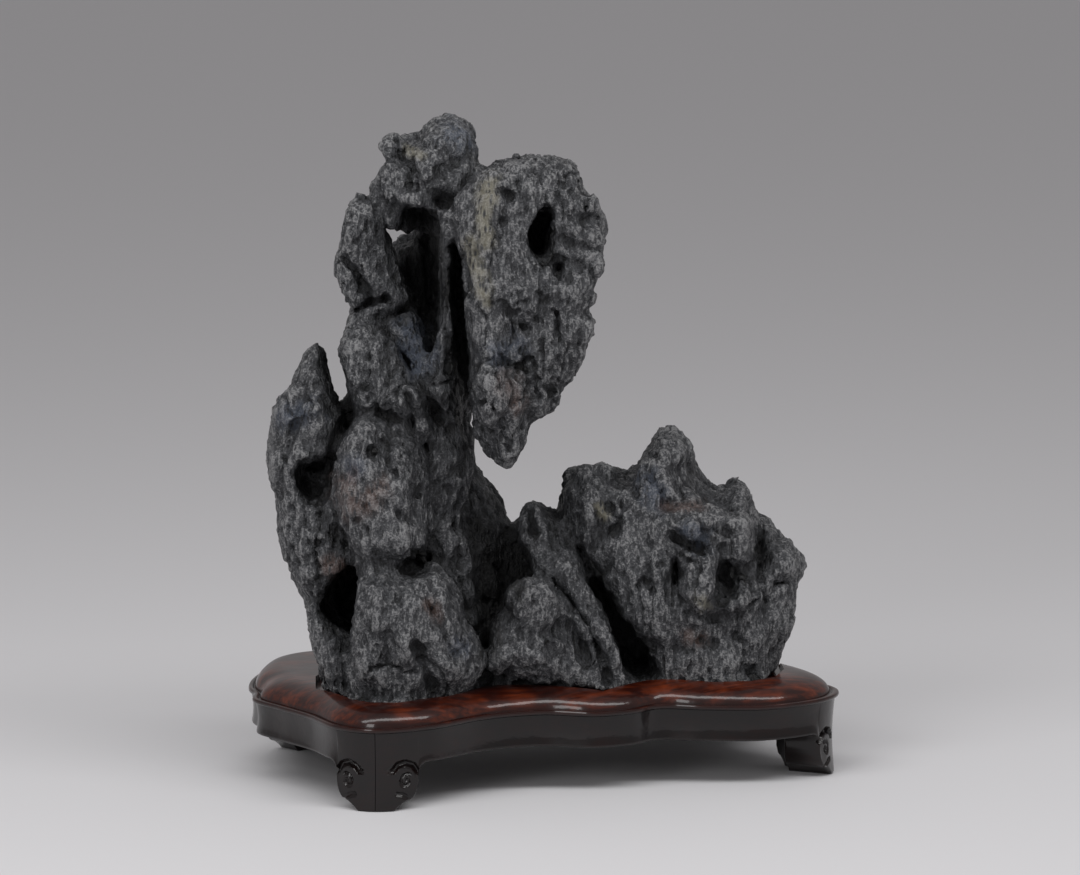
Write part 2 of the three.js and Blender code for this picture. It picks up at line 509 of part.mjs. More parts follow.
// Thins a closed skin to a number of triangles. In each round the edges whose loss moves the surface
// least are closed up, and each vertex remembers the planes that it stands for
function thin({ points, triangles }, target) {
  const around = points.map(() => new Set());
  triangles.forEach((triangle, index) => triangle.forEach((p) => around[p].add(index)));
  const normalOf = (a, b, c) => cross(minus(b, a), minus(c, a));
  const planes = points.map(() => []);
  for (const [a, b, c] of triangles) {
    const normal = normalOf(points[a], points[b], points[c]);
    const size = Math.hypot(...normal);
    if (size < 1e-9) continue;
    const unit = normal.map((value) => value / size);
    const plane = [...unit, -dot(unit, points[a]), size];
    for (const p of [a, b, c]) planes[p].push(plane);
  }
  // The sum of squared distances to the planes, as ten numbers
  const quadric = planes.map((list) => {
    const sum = new Float64Array(10);
    for (const [a, b, c, d, w] of list) {
      [a * a, a * b, a * c, a * d, b * b, b * c, b * d, c * c, c * d, d * d].forEach((value, index) => {
        sum[index] += value * w;
      });
    }
    return sum;
  });
  const error = (p, q, [x, y, z]) => {
    const s = quadric[p].map((value, index) => value + quadric[q][index]);
    return s[0] * x * x + s[4] * y * y + s[7] * z * z + s[9]
      + 2 * (s[1] * x * y + s[2] * x * z + s[3] * x + s[5] * y * z + s[6] * y + s[8] * z);
  };
  const neighbours = (p) => new Set([...around[p]].flatMap((index) => triangles[index]));
  const bendsBack = (p, q, spot) => [...around[p], ...around[q]].some((index) => {
    const triangle = triangles[index];
    if (triangle.includes(p) && triangle.includes(q)) return false;
    const before = normalOf(...triangle.map((v) => points[v]));
    const after = normalOf(...triangle.map((v) => (v === p || v === q ? spot : points[v])));
    return dot(before, after) < KEEP_FACING * Math.hypot(...before) * Math.hypot(...after)
      || Math.hypot(...after) < KEEP_AREA;
  });
  let count = triangles.length;
  while (count > target) {
    const edges = [];
    triangles.forEach((triangle) => {
      if (!triangle) return;
      for (let side = 0; side < 3; side++) {
        const [p, q] = [triangle[side], triangle[(side + 1) % 3]];
        if (p > q) continue;
        const middle = points[p].map((value, axis) => (value + points[q][axis]) / 2);
        const spots = [middle, points[p], points[q]].map((spot) => [error(p, q, spot), spot]);
        const [cost, spot] = spots.reduce((best, other) => (other[0] < best[0] ? other : best));
        edges.push({ cost, p, q, spot });
      }
    });
    edges.sort((a, b) => a.cost - b.cost);
    const touched = new Set();
    const before = count;
    for (const { p, q, spot } of edges.slice(0, Math.ceil(edges.length / 3))) {
      if (touched.has(p) || touched.has(q)) continue;
      const ring = neighbours(p);
      const shared = [...neighbours(q)].filter((v) => ring.has(v) && v !== p && v !== q);
      if (shared.length !== 2 || bendsBack(p, q, spot)) continue;
      for (const v of [...ring, ...neighbours(q)]) touched.add(v);
      points[p] = spot;
      quadric[p] = quadric[p].map((value, index) => value + quadric[q][index]);
      for (const index of [...around[q]]) {
        if (triangles[index].includes(p)) {
          for (const v of triangles[index]) around[v].delete(index);
          triangles[index] = null;
          count--;
        } else {
          triangles[index] = triangles[index].map((v) => (v === q ? p : v));
          around[p].add(index);
        }
      }
      around[q].clear();
      if (count <= target) break;
    }
    if (count === before) break;
  }
  return { points, triangles: triangles.filter(Boolean) };
}

function toGeometry({ points, triangles }) {
  const geometry = new THREE.BufferGeometry();
  geometry.setAttribute('position', new THREE.Float32BufferAttribute(points.flat(), 3));
  geometry.setIndex(triangles.flat());
  return geometry;
}

// The same geometry with only its position and with shared vertices merged, as a solid that can be cut
function toSolid(geometry) {
  const bare = geometry.clone();
  bare.deleteAttribute('normal');
  bare.deleteAttribute('uv');
  const merged = mergeVertices(bare, 1e-4);
  return new wasm.Manifold(new wasm.Mesh({
    numProp: 3,
    vertProperties: new Float32Array(merged.attributes.position.array),
    triVerts: new Uint32Array(merged.index.array),
  }));
}

function fromSolid(solid) {
  const { vertProperties, triVerts } = solid.getMesh();
  const geometry = new THREE.BufferGeometry();
  geometry.setAttribute('position', new THREE.BufferAttribute(vertProperties, 3));
  geometry.setIndex(new THREE.BufferAttribute(triVerts, 1));
  return geometry;
}

// Closed body through rings of points, with a flat cap on the first and on the last ring
function loft(rings) {
  const size = rings[0].length;
  const points = rings.flat();
  const triangles = [];
  for (let ring = 0; ring < rings.length - 1; ring++) {
    for (let i = 0; i < size; i++) {
      const [a, b] = [ring * size + i, ring * size + (i + 1) % size];
      triangles.push([a, b, b + size], [a, b + size, a + size]);
    }
  }
  for (const start of [0, points.length - size]) {
    const ring = points.slice(start, start + size);
    const level = ring.every((p) => Math.abs(p[2] - ring[0][2]) < 1e-6);
    const flat = ring.map((p) => (level ? new THREE.Vector2(p[0], p[1])
      : new THREE.Vector2(Math.hypot(p[0] - ring[0][0], p[1] - ring[0][1]), p[2])));
    const turns = THREE.ShapeUtils.isClockWise(flat);
    for (const [a, b, c] of THREE.ShapeUtils.triangulateShape(flat, [])) {
      const face = turns ? [start + a, start + c, start + b] : [start + a, start + b, start + c];
      triangles.push(start === 0 ? [face[0], face[2], face[1]] : face);
    }
  }
  return { points, triangles };
}

// The stand's plan: pairs of points on the lip and on the dome's crest, from the front left corner on
const plan = [
  [[-127, -68], [-111, -54]], [[-112, -84], [-102, -67]], [[-82, -83], [-78, -65]],
  [[-46, -68], [-46, -50]], [[-16, -67], [-17, -47]], [[8, -80], [6, -58]], [[28, -79], [27, -58]],
  [[46, -72], [46, -52]], [[66, -82], [64, -58]], [[96, -92], [92, -68]], [[130, -84], [114, -63]],
  [[146, -66], [123, -50]], [[143, -38], [120, -30]], [[134, -14], [112, -10]], [[142, 8], [118, 5]],
  [[146, 34], [123, 28]], [[142, 62], [121, 48]], [[120, 84], [106, 62]], [[90, 84], [84, 60]],
  [[58, 74], [56, 52]], [[26, 80], [25, 56]], [[-2, 92], [-2, 68]], [[-34, 87], [-33, 64]],
  [[-62, 81], [-62, 62]], [[-94, 92], [-92, 75]], [[-118, 82], [-109, 69]], [[-132, 63], [-117, 56]],
  [[-141, 40], [-121, 40]], [[-142, 26], [-122, 24]], [[-147, 12], [-123, 8]], [[-141, -10], [-118, -10]],
  [[-133, -36], [-112, -32]],
];
// The corners of the plan, counted in its pairs
const CORNERS = [1, 11, 17, 24.3];
function closedCurve(side) {
  const points = plan.map((pair) => new THREE.Vector3(pair[side][0], pair[side][1], 0));
  return new THREE.CatmullRomCurve3(points, true, 'centripetal');
}
const lipCurve = closedCurve(0);
const crestCurve = closedCurve(1);

// A place on the stand: t runs round it, inward is the distance from the lip towards the crest
function onStand(t, inward, z) {
  const turn = ((t % 1) + 1) % 1;
  const spot = lipCurve.getPoint(turn).lerp(crestCurve.getPoint(turn), inward / DOME_WIDTH);
  return [spot.x, spot.y, z];
}

// The curve value t at each distance along the lip
const LIP_SAMPLES = 720;
const lipLengths = lipCurve.getPoints(LIP_SAMPLES).reduce((list, point, index, all) => {
  list.push(index === 0 ? 0 : list[index - 1] + point.distanceTo(all[index - 1]));
  return list;
}, []);
const lipLength = lipLengths[LIP_SAMPLES];
function alongLip(distance) {
  const wanted = ((distance % lipLength) + lipLength) % lipLength;
  const index = lipLengths.findIndex((length) => length > wanted);
  const [start, end] = [lipLengths[index - 1], lipLengths[index]];
  return (index - 1 + (wanted - start) / (end - start)) / LIP_SAMPLES;
}

// The top: a thin lip, a narrow groove inside it and a dome up to the flat crest, as [inward, z]
const topProfile = [
  [1, LIP_UNDER], [0, LIP_UNDER + 1], [0, LIP_EDGE - 0.8], [1, LIP_EDGE], [3, LIP_EDGE - 0.2],
  [4.5, LIP_EDGE - 1.2], [7, LIP_EDGE + 1.6], [11, LIP_EDGE + 5], [16, LIP_EDGE + 7.7],
  [21, LIP_EDGE + 9], [DOME_WIDTH, CREST],
];
function standTop() {
  const rings = topProfile.map(([inward, z]) => Array.from({ length: STAND_SIDES }, (_, side) => (
    onStand(alongLip(lipLength * side / STAND_SIDES), inward, z))));
  const board = toSolid(toGeometry(loft(rings)));
  return fromSolid(board.subtract(toSolid(socket())));
}

// The socket for the stone's foot: its plan grown by the clearance, as deep as the foot plus the gap
function socket() {
  const grown = basePlan.map(([x, y], index) => {
    const before = basePlan[(index + basePlan.length - 1) % basePlan.length];
    const after = basePlan[(index + 1) % basePlan.length];
    const side = new THREE.Vector2(after[1] - before[1], before[0] - after[0]).setLength(SOCKET_CLEARANCE);
    return new THREE.Vector2(x + side.x, y + side.y);
  });
  const depth = CREST - STONE_BASE + GAP;
  const settings = { depth: 2 * depth, bevelEnabled: false };
  const geometry = new THREE.ExtrudeGeometry(new THREE.Shape(grown), settings);
  geometry.rotateZ(STONE_TURN);
  return geometry.translate(STONE_PLACE[0], STONE_PLACE[1], STONE_BASE - GAP);
}

// Half of a foot and the board beside it, as [distance from the corner, height of the lower edge]. A foot is
// thick near its corner and thins to the board's thickness, and the board's outer face is slightly hollow
const footEdge = [
  [0, 0], [5, 0], [9.5, 0], [12, 2], [16, 4.5], [20, 6], [22.5, 9.5], [23.4, 14], [23.8, 19],
  [25.5, 22.5], [29, APRON_BOTTOM],
];
const BOARD_STEP = 12;
const FOOT_FULL = 18;
const FOOT_GONE = 40;
const HOLLOW_FACE = 1.4;
const HOLLOW_FACE_HEIGHT = 0.45;
function apron(from, to) {
  const length = ((to - from) % lipLength + lipLength) % lipLength;
  const ends = footEdge.map(([distance, z]) => [Math.max(distance, GAP / 2), z]);
  const last = ends[ends.length - 1][0];
  const spans = Math.round((length - 2 * last) / BOARD_STEP);
  const middle = Array.from({ length: spans - 1 }, (_, index) => (
    [last + (length - 2 * last) * (index + 1) / spans, APRON_BOTTOM]));
  const right = ends.map(([distance, z]) => [length - distance, z]).reverse();
  const rings = [...ends, ...middle, ...right].map(([distance, z]) => {
    const t = alongLip(from + distance);
    const toEnd = Math.min(distance, length - distance);
    const foot = 1 - THREE.MathUtils.smoothstep(toEnd, FOOT_FULL, FOOT_GONE);
    const back = APRON_INSET + THREE.MathUtils.lerp(APRON_THICK, FOOT_THICK - APRON_INSET, foot);
    const waist = THREE.MathUtils.lerp(APRON_TOP, z, HOLLOW_FACE_HEIGHT);
    return [
      onStand(t, APRON_INSET, APRON_TOP), onStand(t, APRON_INSET + HOLLOW_FACE, waist),
      onStand(t, APRON_INSET, z), onStand(t, back, z), onStand(t, back, APRON_TOP)];
  });
  return toGeometry(loft(rings));
}

// The finishes: dull grey limestone, and dark lacquered hardwood
const stoneFinish = { color: 0x3b3e42, roughness: 0.72, metalness: 0 };
const woodFinish = { color: 0x32140b, roughness: 0.22, metalness: 0 };

const group = new THREE.Group();
function addMesh(name, geometry, finish, parent) {
  const mesh = new THREE.Mesh(geometry, new THREE.MeshStandardMaterial(finish));
  mesh.name = name;
  parent.add(mesh);
}

const stoneSkin = thin(skin(stoneDistance, STONE_MIN, STONE_MAX, STONE_GRID), STONE_TRIANGLES);
const stoneGroup = new THREE.Group();
stoneGroup.rotation.z = STONE_TURN;
stoneGroup.position.set(...STONE_PLACE);
group.add(stoneGroup);
addMesh('stone', toGeometry(stoneSkin), stoneFinish, stoneGroup);
addMesh('stand_top', standTop(), woodFinish, group);

// The four boards meet in mitres at the corners of the plan
const corners = CORNERS.map((corner) => {
  const share = corner / plan.length;
  const index = Math.floor(share * LIP_SAMPLES);
  return THREE.MathUtils.lerp(lipLengths[index], lipLengths[index + 1], share * LIP_SAMPLES - index);
});
['front', 'right', 'back', 'left'].forEach((side, index) => {
  addMesh(`apron_${side}`, apron(corners[index], corners[(index + 1) % 4]), woodFinish, group);
});

export default group;
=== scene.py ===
# %% [markdown]
# # A scholar's rock on its hardwood stand
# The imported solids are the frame: they give every size and place, in metres. Each piece made here stands in
# for one of them, with the finer shape and the finish that the solid leaves out.

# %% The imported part, and what Blender needs
import math
import bpy
import numpy as np
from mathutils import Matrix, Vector
from mathutils.bvhtree import BVHTree


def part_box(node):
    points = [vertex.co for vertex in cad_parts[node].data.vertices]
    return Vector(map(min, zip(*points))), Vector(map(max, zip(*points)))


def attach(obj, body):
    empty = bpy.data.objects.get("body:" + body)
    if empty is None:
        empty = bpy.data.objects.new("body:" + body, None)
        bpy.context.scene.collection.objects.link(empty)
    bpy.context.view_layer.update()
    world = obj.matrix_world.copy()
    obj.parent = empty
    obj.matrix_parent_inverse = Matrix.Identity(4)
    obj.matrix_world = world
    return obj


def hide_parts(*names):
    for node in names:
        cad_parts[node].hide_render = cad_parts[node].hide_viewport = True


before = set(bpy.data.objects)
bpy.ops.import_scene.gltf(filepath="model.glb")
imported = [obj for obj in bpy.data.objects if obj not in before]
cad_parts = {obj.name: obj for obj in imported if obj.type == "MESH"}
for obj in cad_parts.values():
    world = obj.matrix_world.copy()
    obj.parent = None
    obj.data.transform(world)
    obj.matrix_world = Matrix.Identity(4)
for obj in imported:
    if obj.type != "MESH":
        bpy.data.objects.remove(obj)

scene = bpy.context.scene
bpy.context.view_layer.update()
MM = 0.001
print("solids:", sorted(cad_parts))

# %% [markdown]
# ## The camera
# The photograph was taken with a long lens from in front, a little to the left and a little above. A long
# lens far away keeps the upright lines of the stone nearly parallel. The picture is 1080 points wide.

# %% The camera at the photograph's angle
PICTURE_WIDTH = 1080
PICTURE_HEIGHT = 875
FOCUS_POINTS = 6400
SENSOR_MM = 36
EYE = Vector((-1.0589, -3.0895, 0.6961))
LOOK = Vector((0.3215, 0.9336, -0.1582)).normalized()

camera_data = bpy.data.cameras.new("camera")
camera_data.sensor_width = SENSOR_MM
camera_data.lens = SENSOR_MM * FOCUS_POINTS / PICTURE_WIDTH
camera_data.clip_end = 100
camera = bpy.data.objects.new("camera", camera_data)
camera.location = EYE
camera.rotation_euler = LOOK.to_track_quat("-Z", "Y").to_euler()
scene.collection.objects.link(camera)
scene.camera = camera

RIGHT = LOOK.cross(Vector((0, 0, 1))).normalized()
UP = RIGHT.cross(LOOK)


def in_picture(points):
    """Where points in metres fall in the photograph, in picture points from its top left corner."""
    offset = np.asarray(points) - np.array(EYE)
    depth = offset @ np.array(LOOK)
    across = PICTURE_WIDTH / 2 + FOCUS_POINTS * (offset @ np.array(RIGHT)) / depth
    down = PICTURE_HEIGHT / 2 - FOCUS_POINTS * (offset @ np.array(UP)) / depth
    return np.stack([across, down], axis=-1)


print("camera lens", round(camera_data.lens, 1), "mm")

# %% [markdown]
# ## Small helpers
# An operator works on all that is selected, so each step first selects only its own piece. One helper puts
# a modifier on a piece and applies it, and another makes a mesh from points and faces.

# %% Helpers for pieces


def pick(piece):
    """Makes this piece the only selected and active one."""
    bpy.ops.object.select_all(action="DESELECT")
    piece.select_set(True)
    bpy.context.view_layer.objects.active = piece


def finish_modifier(piece, kind, **settings):
    """Adds one modifier with its settings and applies it."""
    pick(piece)
    modifier = piece.modifiers.new(kind.lower(), kind)
    for name, value in settings.items():
        setattr(modifier, name, value)
    bpy.ops.object.modifier_apply(modifier=modifier.name)


def copy_solid(node, name):
    """A new piece with a copy of a solid's mesh, its loose triangles merged."""
    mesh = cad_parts[node].data.copy()
    mesh.materials.clear()
    piece = bpy.data.objects.new(name, mesh)
    scene.collection.objects.link(piece)
    pick(piece)
    bpy.ops.object.mode_set(mode="EDIT")
    bpy.ops.mesh.select_all(action="SELECT")
    bpy.ops.mesh.remove_doubles(threshold=0.01 * MM)
    bpy.ops.object.mode_set(mode="OBJECT")
    return piece


def new_piece(name, points, faces):
    """A new piece from a list of points in metres and a list of faces."""
    mesh = bpy.data.meshes.new(name)
    mesh.from_pydata([tuple(p) for p in points], [], faces)
    piece = bpy.data.objects.new(name, mesh)
    scene.collection.objects.link(piece)
    return piece


def points_of(piece):
    """The places of a piece's vertices, one row each."""
    places = np.zeros(len(piece.data.vertices) * 3)
    piece.data.vertices.foreach_get("co", places)
    return places.reshape(-1, 3)


def normals_of(piece):
    """The normals of a piece's vertices, one row each."""
    normals = np.zeros(len(piece.data.vertices) * 3, np.float32)
    piece.data.vertex_normals.foreach_get("vector", normals)
    return normals.reshape(-1, 3).astype(float)


def move_points(piece, places):
    """Puts a piece's vertices at new places."""
    piece.data.vertices.foreach_set("co", places.reshape(-1))
    piece.data.update()


# %% [markdown]
# ## The noise that wears the stone
# Two patterns make nearly every worn rock. Waves are soft bumps of one size. Cells are scattered points
# with the distance to the nearest one: they make bowls with sharp rims, or knobs with sharp creases if
# turned over.

# %% Waves and cells


def chance(lattice, seed):
    """Repeatable random numbers from 0 to 1, one for each lattice point."""
    across, along, up = (lattice[..., axis] for axis in range(3))
    mixed = across * 73856093 ^ along * 19349663 ^ up * 83492791 ^ seed * 2654435
    mixed = (mixed & 0x7FFFFFFF) * 1103515245 + 12345
    mixed = ((mixed >> 7) ^ (mixed >> 17)) & 0x7FFFFFFF
    mixed = mixed * 1664525 + 1013904223
    return ((mixed >> 9) & 0xFFFFF) / 0xFFFFF


def waves(points, size, seed):
    """Soft noise between -1 and 1, whose bumps have this size in mm along x, y and z."""
    spots = points / (np.array(size) * MM)
    corner = np.floor(spots).astype(np.int64)
    share = spots - corner
    share = share * share * share * (share * (share * 6 - 15) + 10)
    total = np.zeros(len(points))
    for step in np.ndindex(2, 2, 2):
        weight = np.prod(np.where(np.array(step), share, 1 - share), axis=1)
        total += weight * chance(corner + np.array(step), seed)
    return total * 2 - 1


def cells(points, size, seed):
    """Distance to the nearest scattered point in cell sizes, and that point's luck from 0 to 1."""
    spots = points / (np.array(size) * MM)
    corner = np.floor(spots).astype(np.int64)
    first = np.full(len(points), 9.0)
    luck = np.zeros(len(points))
    for step in np.ndindex(3, 3, 3):
        cell = corner + np.array(step) - 1
        spot = cell + np.stack([chance(cell, seed + axis) for axis in range(3)], axis=-1)
        gap = np.linalg.norm(spot - spots, axis=1)
        nearer = gap < first
        luck = np.where(nearer, chance(cell, seed + 5), luck)
        first = np.where(nearer, gap, first)
    return first, luck


# %% [markdown]
# ## The stone
# The solid has the stone's masses, clefts and ledges in flat facets. The real one is a hard limestone that
# water has eaten: clefts, scalloped hollows with sharp rims, knobs, an upright grain and fine pits. The
# copy gets an even fine net of faces, its named clefts and ridges are carved, and then it is worn in
# layers, large to small.

# %% The stone's body with an even net of faces
FIRST_NET_MM = 1.8
NET_MM = 1.35
stone = copy_solid("stone", "worn_stone")
print("stone net:", len(stone.data.vertices), "vertices")

# %% [markdown]
# The clefts, pits and ridges that the photograph shows are carved one by one. Each mark is a brush stroke
# on the picture: how deep it goes into the stone in mm (less than 0 stands proud), the half width of the
# brush and the points that it passes, both in picture points. A stroke works only on what the camera sees
# there, so it can't reach a part of the stone that lies behind. A few round lumps are joined first, for the
# knobs on the outline and the shallow seams. Each is placed by its picture point and its depth behind a
# plane in front of the stone.

# %% Strokes on the front
MARKS = {
    "crown": [
        (7, 6, [(398, 153), (405, 162), (414, 170)]), (4, 4, [(408, 176), (398, 166)]),
        (3, 4, [(447, 148), (456, 162)]), (3, 4, [(438, 172), (452, 168), (462, 160)]),
        (2, 5, [(394, 163), (393, 180), (396, 198)]), (3, 4, [(413, 187), (432, 182), (446, 176)]),
        (6, 4, [(476, 163), (468, 178), (461, 196), (456, 212)]),
        (4, 4, [(482, 172), (474, 190), (468, 206)]), (-2, 7, [(470, 168), (462, 184), (454, 202)]),
        (2, 5, [(424, 128), (430, 142), (444, 150)]), (-2, 6, [(386, 145), (391, 156)]),
        (2.5, 4, [(388, 150), (382, 164)]),
    ],
    "lobe": [
        (13, 8, [(545, 212), (538, 228), (536, 245), (540, 253)]), (5, 6, [(556, 262), (560, 278)]),
        (6, 5, [(501, 190), (512, 198)]), (5, 4, [(520, 182), (522, 199)]),
        (2.5, 5, [(506, 204), (503, 225)]), (2.5, 4, [(503, 225), (498, 246), (497, 268)]),
        (3, 4, [(558, 219), (584, 222), (600, 214)]), (3, 4, [(556, 240), (575, 245), (600, 250)]),
        (3, 4, [(562, 262), (580, 264), (600, 262)]), (4, 5, [(590, 270), (594, 280)]),
        (5, 7, [(556, 314), (560, 336)]), (3, 5, [(504, 307), (513, 313)]),
        (2.5, 4, [(519, 324), (531, 330)]), (3, 4, [(540, 342), (542, 356)]),
        (4, 4, [(533, 362), (533, 385), (539, 396)]), (-3, 12, [(490, 384), (496, 404)]),
        (3, 4, [(469, 373), (484, 362), (502, 360), (522, 368)]),
        (4, 6, [(477, 425), (490, 429), (503, 424)]), (3, 4, [(505, 443), (512, 451)]),
        (-2, 7, [(484, 200), (487, 240)]), (3, 5, [(464, 250), (470, 280), (474, 300)]),
        (2, 5, [(566, 350), (572, 362)]), (3, 5, [(545, 385), (552, 392)]),
        (-2.5, 9, [(570, 230), (585, 236)]), (-2.5, 9, [(574, 205), (588, 206)]),
        (2, 4, [(520, 395), (524, 412), (519, 428)]), (3, 5, [(577, 290), (586, 300)]),
        (2.5, 5, [(538, 290), (545, 300)]),
    ],
    "cave and slit": [
        (5, 4, [(456, 222), (458, 260), (461, 300), (464, 340), (466, 370), (468, 390)]),
        (-3, 4, [(447, 214), (447, 250), (449, 290), (452, 330)]),
        (8, 9, [(426, 240), (430, 280), (432, 310)]), (3, 4, [(446, 330), (449, 352), (447, 372)]),
        (7, 7, [(430, 400), (438, 420)]), (5, 6, [(450, 430), (461, 450), (464, 470)]),
        (6, 4, [(445, 487), (450, 492)]), (4, 4, [(454, 472), (462, 462)]),
    ],
    "shoulder": [
        (6, 4, [(384, 328), (395, 342), (402, 356), (411, 371)]),
        (8, 6, [(333, 343), (340, 360), (345, 380), (350, 389)]),
        (-4, 4, [(383, 402), (390, 389), (402, 382), (413, 388), (420, 402), (424, 426)]),
        (8, 5, [(407, 394), (412, 410), (413, 428)]), (-2, 6, [(396, 404), (401, 414)]),
        (6, 4, [(411, 436), (413, 442)]), (3, 4, [(418, 385), (430, 399), (436, 412)]),
        (3, 4, [(366, 372), (372, 386)]), (2, 4, [(348, 392), (360, 400), (374, 396)]),
        (2, 5, [(398, 318), (410, 330)]), (3, 4, [(372, 408), (384, 416), (396, 422)]),
    ],
    "fin": [
        (7, 5, [(344, 258), (355, 270), (362, 285), (372, 300)]), (4, 4, [(372, 245), (374, 254)]),
        (3, 4, [(380, 266), (382, 274)]), (7, 5, [(357, 309), (370, 304), (385, 298)]),
        (3, 4, [(352, 288), (360, 298)]), (2.5, 5, [(362, 212), (368, 230)]),
        (-2, 6, [(352, 215), (350, 235)]), (3, 4, [(385, 240), (392, 262), (398, 282)]),
    ],
    "flank": [
        (6, 3.5, [(295, 425), (291, 440), (286, 460), (281, 476), (280, 492)]),
        (7, 5, [(269, 486), (277, 496)]), (9, 8, [(305, 466), (320, 464), (334, 457)]),
        (8, 8, [(303, 482), (313, 492)]), (-2, 4, [(298, 455), (318, 459), (334, 451)]),
        (7, 7, [(346, 424), (338, 440), (330, 453)]), (2.5, 4, [(307, 366), (318, 360), (329, 367)]),
        (3, 4, [(300, 400), (309, 392), (318, 384)]), (3, 5, [(304, 520), (313, 530)]),
        (3, 5, [(307, 540), (317, 545)]), (4, 4, [(288, 543), (296, 560)]),
        (3, 4, [(300, 560), (330, 549), (346, 541)]), (-3, 9, [(326, 566), (338, 566)]),
        (4, 6, [(306, 598), (322, 604)]), (3, 4, [(300, 440), (316, 444), (326, 440)]),
        (3, 5, [(322, 398), (334, 412)]), (2.5, 5, [(332, 524), (336, 540)]),
        (-3, 5, [(284, 420), (300, 417), (318, 408)]), (3, 4, [(276, 440), (282, 452)]),
    ],
    "belly": [
        (4, 5, [(350, 416), (374, 411), (396, 420)]),
        (5, 5, [(382, 440), (384, 456), (390, 470), (396, 477)]), (5, 5, [(369, 450), (371, 456)]),
        (3, 4, [(400, 458), (408, 470), (412, 482)]), (4, 5, [(411, 498), (421, 490)]),
        (-3, 6, [(352, 478), (343, 496), (351, 511)]),
        (4, 3.5, [(346, 518), (345, 540), (348, 556), (356, 561)]), (3, 3.5, [(368, 528), (371, 547)]),
        (2.5, 5, [(397, 514), (412, 521)]), (3, 5, [(431, 500), (434, 513)]),
        (14, 10, [(354, 570), (346, 582), (341, 600), (349, 610)]), (-3, 7, [(398, 432), (400, 452)]),
        (-2.5, 8, [(366, 470), (360, 490)]), (3, 6, [(378, 498), (388, 508)]),
        (3, 5, [(424, 450), (431, 474)]), (3, 4, [(376, 552), (392, 556)]),
    ],
    "front foot": [
        (9, 7, [(402, 570), (411, 567), (421, 564)]), (5, 6, [(414, 552), (426, 555)]),
        (7, 4.5, [(359, 612), (356, 636), (352, 654), (356, 668)]), (5, 5, [(370, 624), (372, 636)]),
        (3.5, 8, [(389, 632), (386, 660)]), (-3.5, 4.5, [(436, 576), (444, 600), (450, 622), (457, 646)]),
        (4, 4, [(425, 600), (435, 616), (445, 638)]), (7, 4.5, [(416, 646), (423, 666), (431, 686)]),
        (-3, 7, [(378, 600), (396, 612)]), (3, 4, [(398, 582), (400, 604)]),
        (-2.5, 8, [(404, 640), (408, 660)]), (-3, 7, [(366, 650), (366, 676)]),
        (3, 5, [(462, 560), (466, 580)]), (-3, 6, [(440, 662), (456, 668)]),
        (3, 4, [(460, 640), (470, 660)]), (4, 4, [(334, 652), (350, 648)]),
    ],
    "wedge": [
        (12, 3.5, [(529, 511), (531, 522), (535, 536)]),
        (10, 3.5, [(553, 580), (570, 600), (585, 622), (598, 650), (609, 688)]),
        (4, 3.5, [(596, 638), (605, 663), (613, 686)]), (4, 4, [(519, 545), (531, 560), (546, 576)]),
        (3, 4, [(555, 520), (552, 536), (560, 552)]),
        (-2.5, 5, [(566, 566), (585, 590), (604, 625), (618, 660)]),
        (12, 6, [(578, 548), (592, 578), (606, 610), (622, 648), (640, 676)]),
        (9, 7, [(645, 662), (654, 680)]),
    ],
    "boulder": [
        (7, 10, [(549, 632), (566, 628), (580, 640), (588, 655)]), (4, 9, [(549, 650), (562, 661)]),
        (-4, 6, [(542, 583), (560, 600), (575, 620), (591, 645), (601, 668)]),
        (6, 8, [(503, 673), (511, 668)]), (7, 4.5, [(516, 683), (540, 685), (562, 684)]),
        (7, 4, [(484, 600), (488, 640), (487, 682)]), (3, 5, [(512, 608), (506, 634), (498, 650)]),
        (-3, 8, [(520, 655), (542, 657)]), (-3, 8, [(528, 592), (520, 612)]),
        (3, 4, [(548, 664), (552, 678)]),
    ],
    "right mass": [
        (4, 5, [(608, 506), (613, 511)]), (3, 5, [(620, 520), (616, 534)]),
        (4, 5, [(634, 490), (640, 497)]), (3, 6, [(646, 468), (654, 484), (668, 502)]),
        (4, 3.5, [(660, 506), (680, 502), (701, 508)]), (7, 6, [(675, 534), (685, 545), (699, 550)]),
        (3, 5, [(646, 540), (652, 546)]), (10, 6, [(676, 562), (679, 574), (677, 584)]),
        (9, 7, [(724, 568), (722, 580), (730, 588)]), (4, 5, [(736, 576), (740, 566)]),
        (5, 6, [(724, 530), (732, 534)]), (3, 5, [(713, 551), (723, 547)]),
        (-4, 11, [(703, 566), (707, 588), (701, 606)]), (6, 6, [(686, 612), (710, 618), (742, 615)]),
        (4, 5, [(747, 570), (749, 577)]), (9, 3.5, [(763, 515), (761, 540), (758, 562), (757, 592)]),
        (4, 5, [(762, 597), (769, 604)]), (5, 5, [(774, 583), (790, 581)]),
        (-3, 9, [(672, 524), (700, 532)]), (-3, 9, [(742, 496), (748, 520)]),
        (3, 5, [(592, 502), (600, 520), (600, 545)]), (-3, 6, [(594, 500), (588, 520), (588, 545)]),
        (3, 5, [(612, 560), (604, 572)]), (3, 6, [(646, 576), (652, 592)]),
        (-3, 8, [(733, 596), (744, 600)]), (4, 5, [(684, 596), (690, 606)]),
        (3, 5, [(640, 640), (654, 650)]), (3, 6, [(700, 640), (716, 646)]),
        (4, 6, [(744, 668), (756, 674)]), (3, 6, [(676, 646), (690, 652)]),
        (3, 5, [(735, 636), (745, 642)]), (-3, 7, [(664, 440), (668, 460)]),
        (3, 5, [(676, 470), (674, 486)]), (3, 5, [(578, 480), (580, 492)]),
    ],
}


